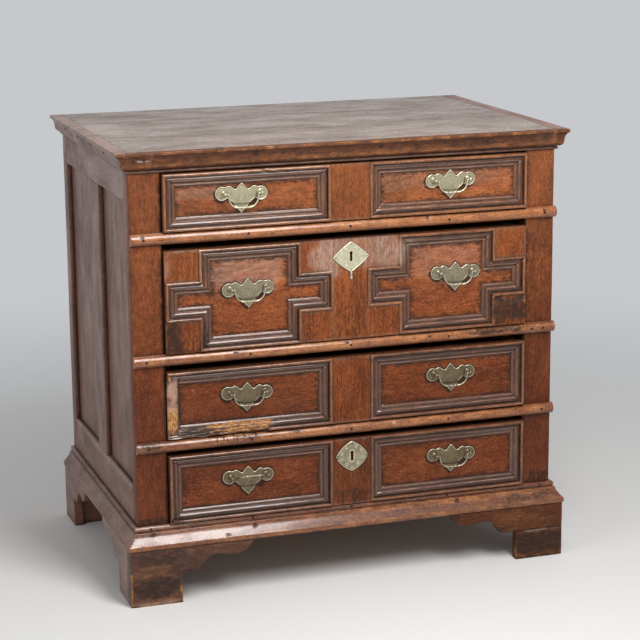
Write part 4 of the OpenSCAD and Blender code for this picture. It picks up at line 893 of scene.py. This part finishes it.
def pressRelief(piece, thick, form):  # form gives each front point's rise, hollow and wear from its place in mm
    count = len(piece.data.vertices)
    flat = numpy.empty(count * 3, dtype="f")
    piece.data.vertices.foreach_get("co", flat)
    places = flat.reshape(-1, 3)
    front = places[:, 1] < -thick * mm * 0.9
    rise, hollow, worn = form(places[front][:, [0, 2]] / mm)
    places[front, 1] -= rise * mm
    piece.data.vertices.foreach_set("co", places.astype("f").ravel())
    for kind, values in (("hollow", hollow), ("worn", worn)):
        amount = numpy.zeros(count, dtype="f")
        amount[front] = values
        writeMark(piece, kind, amount)
    piece.data.update()


# Back plate: pointed top, two round ears, a long pointed drop; leaves and scrolls are engraved on it
plateForm = {"thick": 2, "step": 0.7, "rim": 0.55, "rimAt": 1.1, "groove": 0.3, "grooveWide": 0.9, "post": 37.5, "boss": 6.4,
             "bailShadowPath": [(31, 0), (30.4, -6), (27.6, -13), (22, -18.4), (13, -21.8), (0, -22.6)],
             "peak": [(0, 19.8), (2.4, 18.3), (5.2, 15.6), (8, 12.2), (10.2, 9.2), (12.4, 7.4)],
             "wing": [(12.4, 7.4), (14.8, 7.7), (17, 9), (20, 11.4), (23.3, 13.2), (26.5, 13.9), (29.5, 12.9), (33.2, 10.8)],
             "ear": (40, -1.5, 14, 112, -134),
             "drop": [(27.6, -11.4), (24.6, -13.6), (21, -17), (18.2, -20), (16.2, -21.4), (15, -23.6), (12, -28), (8.2, -31.8),
                      (4.4, -35.4), (0, -40.5)],
             "engraved": [[(13.6, 2.2), (7, 8.4), (0, 13.8)], [(13.6, 2.2), (15, -5), (13, -14), (8, -24), (0, -35.5)],
                          [(8, -0.6), (0, 7.6)], [(8, -0.6), (9, -8), (6.6, -17), (0, -29.5)], [(5, -6), (0, -0.5)],
                          [(5, -6), (5.4, -11), (3, -17), (0, -21)], [(16.5, -13.5), (19.5, -6), (20.5, 2), (24, 8.4)],
                          [(20.5, -12), (23.5, -5), (25, 2), (28, 7.4)], [(10.5, 3), (16, 4.6), (21, 8)],
                          arcRun(40, -1.5, 9.6, 150, -150, 16), arcRun(33.6, 2.6, 3.2, 20, 300, 10)]}


def plateOutline(f):
    right = smoothRun(f["peak"], 3)[:-1] + smoothRun(f["wing"], 3)[:-1] + arcRun(*f["ear"], 20) + smoothRun(f["drop"], 3)
    right = [(float(x), float(z)) for x, z in right]
    return right + [(-x, z) for x, z in right[-2:0:-1]]


def plateRelief(points):
    f = plateForm
    outline = plateOutline(f)
    away = awayFrom(points, outline + outline[:1])
    mirrored = numpy.column_stack([abs(points[:, 0]), points[:, 1]])
    line = numpy.minimum.reduce([awayFrom(mirrored, smoothRun(run, 3) if len(run) < 9 else run) for run in f["engraved"]])
    rim = numpy.exp(-((away - f["rimAt"]) / 0.75) ** 2)
    groove = numpy.clip(1 - line / f["grooveWide"], 0, 1) * ramp(1.6, 2.6, away)
    boss = ramp(f["boss"] + 0.6, f["boss"] - 0.6, numpy.hypot(mirrored[:, 0] - f["post"], points[:, 1]))
    rise = f["rim"] * rim - 0.5 * ramp(0.7, 0, away) - f["groove"] * groove + 0.35 * boss
    hollow = numpy.maximum(groove * 0.45, 0.45 * numpy.exp(-((away - 2.5) / 0.6) ** 2))
    kept = numpy.exp(-(awayFrom(mirrored, f["bailShadowPath"]) / 1.9) ** 2)  # painted shadow of the bail on the plate, with tarnish where cloths don't reach
    foot = numpy.exp(-((numpy.hypot(mirrored[:, 0] - f["post"], points[:, 1]) - 5.6) / 1.1) ** 2)
    hollow = numpy.maximum.reduce([hollow, kept * 0.9, foot * 0.8])
    return rise, hollow, rim * (1 - kept)


def plateModel():
    piece = flatCasting("plateModel", plateOutline(plateForm), plateForm["thick"])
    cutAcross(piece, (plateForm["step"], 0, plateForm["step"]))
    pressRelief(piece, plateForm["thick"], plateRelief)
    return piece


# Post: turned foot, neck with a ring, and the ball that holds a pin of the bail; its shank runs through the front to a nut
postForm = {"sides": 20, "profile": [(26, 0), (26, 2.3), (-1.9, 2.3), (-1.9, 5.3), (-2.6, 5.4), (-3.4, 4.6), (-4.3, 3.2), (-6.2, 2.6),
                                     (-8, 2.5), (-8.5, 3.1), (-9.2, 3.1), (-9.8, 2.4), (-12.4, 2.2), (-13.1, 2.5), (-13.9, 3.2),
                                     (-15.2, 4), (-17, 4.3), (-18.8, 4), (-19.9, 3.2), (-20.7, 2.1), (-21.1, 0.9), (-21.2, 0)],
            "nut": (22, 4, 5.8)}


def turned(name, profile, sides):  # spins a profile of (y, radius) about the y axis
    bpy.ops.mesh.primitive_circle_add(vertices=len(profile), radius=0.01, fill_type="NOTHING")
    piece = bpy.context.object
    piece.name = name
    for vertex, (y, radius) in zip(piece.data.vertices, profile):
        vertex.co = (radius * mm, y * mm, 0)
    bpy.ops.object.mode_set(mode="EDIT")
    bpy.ops.mesh.select_all(action="SELECT")
    bpy.ops.mesh.spin(steps=sides, angle=2 * math.pi, center=(0, 0, 0), axis=(0, 1, 0))
    bpy.ops.mesh.select_all(action="SELECT")
    bpy.ops.mesh.remove_doubles(threshold=0.00002)
    bpy.ops.mesh.delete_loose()
    bpy.ops.mesh.select_all(action="SELECT")
    bpy.ops.mesh.normals_make_consistent(inside=False)
    bpy.ops.object.mode_set(mode="OBJECT")
    return piece


def nutModel():
    y, thick, radius = postForm["nut"]
    bpy.ops.mesh.primitive_cylinder_add(vertices=6, radius=radius * mm, depth=thick * mm, rotation=(math.pi / 2, 0, 0),
                                        location=(0, (y + thick / 2) * mm, 0))
    piece = bpy.context.object
    bpy.ops.object.transform_apply(location=True, rotation=True, scale=True)
    bpy.ops.object.modifier_add(type="BEVEL")
    piece.modifiers[0].width = 0.5 * mm
    piece.modifiers[0].segments = 2
    bpy.ops.object.modifier_apply(modifier=piece.modifiers[0].name)
    return piece


# Bail: right half of its line as x, z and radius in mm, from the pin in the ball to the middle
bailForm = {"pivot": -17, "drop": 24.6,
            "line": [(40.5, 0, 1.3), (33, 0, 1.3), (31.7, -0.5, 1.5), (30.8, -2.2, 1.6), (30.4, -6, 1.5),
                     (29.4, -11, 1.5), (27.1, -15.8, 1.5), (23.4, -20, 1.55), (18.8, -22.8, 1.6), (15.6, -23.8, 2.1),
                     (13.4, -24.4, 2.3), (11, -24.6, 1.9), (9.4, -24.6, 1.4), (7, -24.6, 1.4), (5.6, -24.6, 2.1),
                     (4.2, -24.6, 2.6), (2.8, -24.6, 2.1), (1.4, -24.6, 1.3), (0, -24.6, 1.3)]}


def bailModel():
    bpy.ops.curve.primitive_bezier_curve_add(location=(0, 0, 0))
    piece = bpy.context.object
    piece.name = "bailModel"
    curve = piece.data
    curve.splines.clear()
    right = smoothRun(bailForm["line"], 3)
    line = right + [numpy.array((-p[0], p[1], p[2])) for p in right[-2::-1]]
    spline = curve.splines.new("POLY")
    spline.points.add(len(line) - 1)
    for point, (x, z, radius) in zip(spline.points, line):
        point.co = (x * mm, 0, z * mm, 1)
        point.radius = radius
    curve.dimensions = "3D"
    curve.bevel_depth = mm
    curve.bevel_resolution = 4
    curve.use_fill_caps = True
    makeActive(piece)
    bpy.ops.object.convert(target="MESH")
    piece = bpy.context.object
    return piece


def copyOf(model, name, change):  # a copy with its own mesh, moved by a matrix
    piece = model.copy()
    piece.data = model.data.copy()
    piece.name = name
    bpy.context.scene.collection.objects.link(piece)
    piece.data.transform(change)
    return piece


def joined(pieces, name):
    makeActive(pieces[0])
    for item in pieces:
        item.select_set(True)
    bpy.ops.object.join()
    piece = bpy.context.object
    piece.name = name
    piece.data.name = name
    return piece


raisedBail = {"bail_4_left": 113}  # degrees
bailScratch = {"drawer": 2, "middle": (-206, 613), "radius": 44, "from": -112, "to": -24}


def waxAndShadowRound(front, i):  # black wax against the plates, a painted shadow of each plate offset down and left, a painted shadow in the gap below each bail, and a scratch on one drawer
    h, s = handles[i], bailScratch
    places = placesOf(front)
    outline = plateOutline(plateForm)
    outline = outline + outline[:1]
    stainAndShadow = numpy.zeros(len(places))
    for x in h["x"]:
        points = places[:, [0, 2]] - (x, h["z"])
        near = numpy.nonzero((abs(points[:, 0]) < 62) & (abs(points[:, 1]) < 60) & (places[:, 1] < 1))[0]
        away = numpy.minimum(awayFrom(points[near], outline), awayFrom(points[near] + (2.4, 2.6), outline))
        # painted shadow between each bail's right arm and its plate
        bailShadowFar = numpy.hypot((points[near, 0] - 25) / 10, (points[near, 1] + 20) / 8)
        waxAndShadow = numpy.maximum(0.8 * numpy.exp(-(away / 2.4) ** 2), 0.85 * ramp(1.3, 0.7, bailShadowFar))
        stainAndShadow[near] = numpy.maximum(stainAndShadow[near], waxAndShadow)
    if i == s["drawer"]:
        points = places[:, [0, 2]] - s["middle"]
        turn = numpy.degrees(numpy.arctan2(points[:, 1], points[:, 0]))
        line = numpy.exp(-((numpy.hypot(points[:, 0], points[:, 1]) - s["radius"]) / 1.3) ** 2)
        stainAndShadow = numpy.maximum(stainAndShadow, 0.5 * line * ((turn > s["from"]) & (turn < s["to"])))
    writeMark(front, "sootAndShade", stainAndShadow)


models = [plateModel(), turned("postModel", postForm["profile"], postForm["sides"]), nutModel()]
bail = bailModel()
for i, h in handles.items():
    made = []
    for x, tilt, side, drop in zip(h["x"], h["tilt"], ("left", "right"), h["drop"]):
        middle = Matrix.Translation(corner(x, 0, h["z"]))
        made.append(copyOf(models[0], "plate", middle @ Matrix.Rotation(math.radians(tilt), 4, "Y")))
        for s in (-1, 1):
            at = middle @ Matrix.Translation((s * plateForm["post"] * mm, 0, 0))
            made.append(copyOf(models[1], "post", at @ Matrix.Rotation(math.radians(17 * s + 40 * i), 4, "Y")))
            made.append(copyOf(models[2], "nut", at @ Matrix.Rotation(math.radians(23 * s + 31 * i), 4, "Y")))
        node = "bail_%d_%s" % (i, side)
        turn = Matrix.Rotation(math.radians(-raisedBail.get(node, 0)), 4, "X")
        size = Matrix.Diagonal((1, 1, drop / bailForm["drop"], 1))
        pivot = Matrix.Translation(corner(x, bailForm["pivot"], h["z"]))
        piece = copyOf(bail, "bail%d%s" % (i, side.title()), pivot @ turn @ size)
        # painted highlight on faces turned to the front and up, painted shade on the underside and back, with polish
        # and tarnish
        fronts = numpy.array([-v.normal.y + 0.6 * v.normal.z for v in piece.data.vertices])
        writeMark(piece, "worn", 0.55 * ramp(0.4, 1, fronts))
        writeMark(piece, "hollow", 0.8 * ramp(0.1, -0.7, fronts))
        finishPiece(piece, node, h["finish"])
    finishPiece(joined(made, "drawer%dHandles" % i), "drawer_%d_handle_plates" % i, h["finish"])
    waxAndShadowRound(bpy.data.objects["drawer%dFront" % i], i)
for item in models + [bail]:
    bpy.data.objects.remove(item)
print("handles made")

# Escutcheons: outline, keyhole with a raised rim, ringed punch marks and pins, in mm from the middle
escutcheons = {
    2: {"size": (77, 63), "bulge": 1.8, "finish": "brightBrass", "pins": [(-33, 0), (33, 0), (0, 26.5), (0, -26.5)],
        "punches": [(-21, 9), (-12, 18.5), (10, 19), (21.5, 9.5), (22.5, -6), (11, -16.5), (-9.5, -17), (-21, -5.5)],
        "punch": (1.5, 0.35), "keyRim": 0.15},
    4: {"size": (70, 64), "bulge": 4.6, "finish": "greyBrass", "pins": [(-31.5, 1.5), (-31.5, -2.5), (32, 0), (0, 26.5)],
        "punches": [(-22.5, 6.5), (-12, 18.5), (9.5, 20), (20.5, 12), (23, -4.5), (12.5, -16), (0, -25), (-11.5, -17), (-22.5, -5.5)],
        "punch": (2.3, 0.6), "keyRim": 0.7}}
keyhole = {"round": (0, 8, 3.3), "slot": (2.5, -9)}


def lozenge(width, height, bulge):
    tips = [(width / 2, 0), (0, height / 2), (-width / 2, 0), (0, -height / 2)]
    out = []
    for k in range(4):
        a, b = numpy.array(tips[k]), numpy.array(tips[(k + 1) % 4])
        side = numpy.array((b[1] - a[1], a[0] - b[0])) / numpy.linalg.norm(b - a)
        out += [tuple(a + (b - a) * t / 10 + side * bulge * 4 * (t / 10) * (1 - t / 10)) for t in range(10)]
    return [(float(x), float(z)) for x, z in out]


def escutcheonRelief(points, e):
    outline = lozenge(*e["size"], e["bulge"])
    away = awayFrom(points, outline + outline[:1])
    rim = numpy.exp(-((away - 1.2) / 0.8) ** 2)
    rise = 0.6 * rim - 0.5 * ramp(0.7, 0, away)
    hollow = 0.4 * numpy.exp(-((away - 2.8) / 0.6) ** 2)
    worn = rim.copy()
    key = awayFrom(points, [(0, keyhole["round"][1]), (0, keyhole["slot"][1] + 1)])
    lip = numpy.exp(-((key - 4.6) / 0.9) ** 2)
    rise += e["keyRim"] * lip
    worn = numpy.maximum(worn, lip * min(1, e["keyRim"] * 1.6))
    for x, z in e["punches"]:
        far = numpy.hypot(points[:, 0] - x, points[:, 1] - z)
        ring = numpy.exp(-((far - e["punch"][0]) / 0.8) ** 2)
        dip = ramp(1.3, 0.5, far)
        rise += e["punch"][1] * ring - 0.5 * dip
        worn = numpy.maximum(worn, ring)
        hollow = numpy.maximum(hollow, dip)
    for x, z in e["pins"]:
        far = numpy.hypot(points[:, 0] - x, points[:, 1] - z)
        rise += 0.7 * numpy.sqrt(numpy.clip(1 - (far / 1.7) ** 2, 0, 1))
        hollow = numpy.maximum(hollow, ramp(2.2, 1.4, far))
    return rise, hollow, worn


def keyCutter():
    x, z, radius = keyhole["round"]
    half, low = keyhole["slot"]
    bpy.ops.mesh.primitive_cylinder_add(vertices=32, radius=radius * mm, depth=0.02, rotation=(math.pi / 2, 0, 0),
                                        location=(x * mm, 0, z * mm))
    bore = bpy.context.object
    bpy.ops.mesh.primitive_cube_add(size=1, location=(x * mm, 0, (low + z) / 2 * mm),
                                    scale=(2 * half * mm, 0.02, (z - low) * mm))
    slot = bpy.context.object
    bpy.ops.object.modifier_add(type="BOOLEAN")
    slot.modifiers[0].operation = "UNION"
    slot.modifiers[0].object = bore
    bpy.ops.object.modifier_apply(modifier=slot.modifiers[0].name)
    bpy.data.objects.remove(bore)
    return slot


cutter = keyCutter()
for i, e in escutcheons.items():
    node = "escutcheon_%d" % i
    low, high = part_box(node)
    middle = (Vector(low) + Vector(high)) / 2
    piece = flatCasting("escutcheon%d" % i, lozenge(*e["size"], e["bulge"]), plateForm["thick"])
    makeActive(piece)
    bpy.ops.object.modifier_add(type="BOOLEAN")
    piece.modifiers[0].operation = "DIFFERENCE"
    piece.modifiers[0].object = cutter
    bpy.ops.object.modifier_apply(modifier=piece.modifiers[0].name)
    cutAcross(piece, (0.65, 0, 0.65))
    pressRelief(piece, plateForm["thick"], lambda points, e=e: escutcheonRelief(points, e))
    piece.data.transform(Matrix.Translation((middle.x, faceY - 9 * mm, middle.z)))
    finishPiece(piece, node, e["finish"])
bpy.data.objects.remove(cutter)

# What is left of a keyhole cover, hung below the upper escutcheon: a small cast drop on a round pin
coverDrop = {"place": (1.5, -9.2, 649), "length": 13, "finish": "paleBrass"}
dropLine = smoothRun([(0, 2.6), (1.9, 1.8), (2.5, 0), (1.7, -2), (1.5, -4), (2.6, -7), (2.2, -9.6), (0.9, -11.6), (0, -12.6)], 3)
dropLine = [(float(x), float(z)) for x, z in dropLine]
piece = flatCasting("coverDrop", dropLine + [(-x, z) for x, z in dropLine[-2:0:-1]], 1.4)
cutAcross(piece, (0.6, 0, 0.6))
pressRelief(piece, 1.4, lambda points: (1.2 * numpy.sqrt(numpy.clip(1 - (numpy.hypot(points[:, 0], points[:, 1]) / 2) ** 2, 0, 1)),
                                        numpy.zeros(len(points)), numpy.ones(len(points)) * 0.5))
piece.data.transform(Matrix.Translation(corner(*coverDrop["place"])))
giveFinish(piece, coverDrop["finish"])
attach(piece, "drawer_2")
print("escutcheons made")


for node, item in nodes.items():
    if slotOf[node] == "iron":
        giveFinish(item, "iron")
print("iron finished")
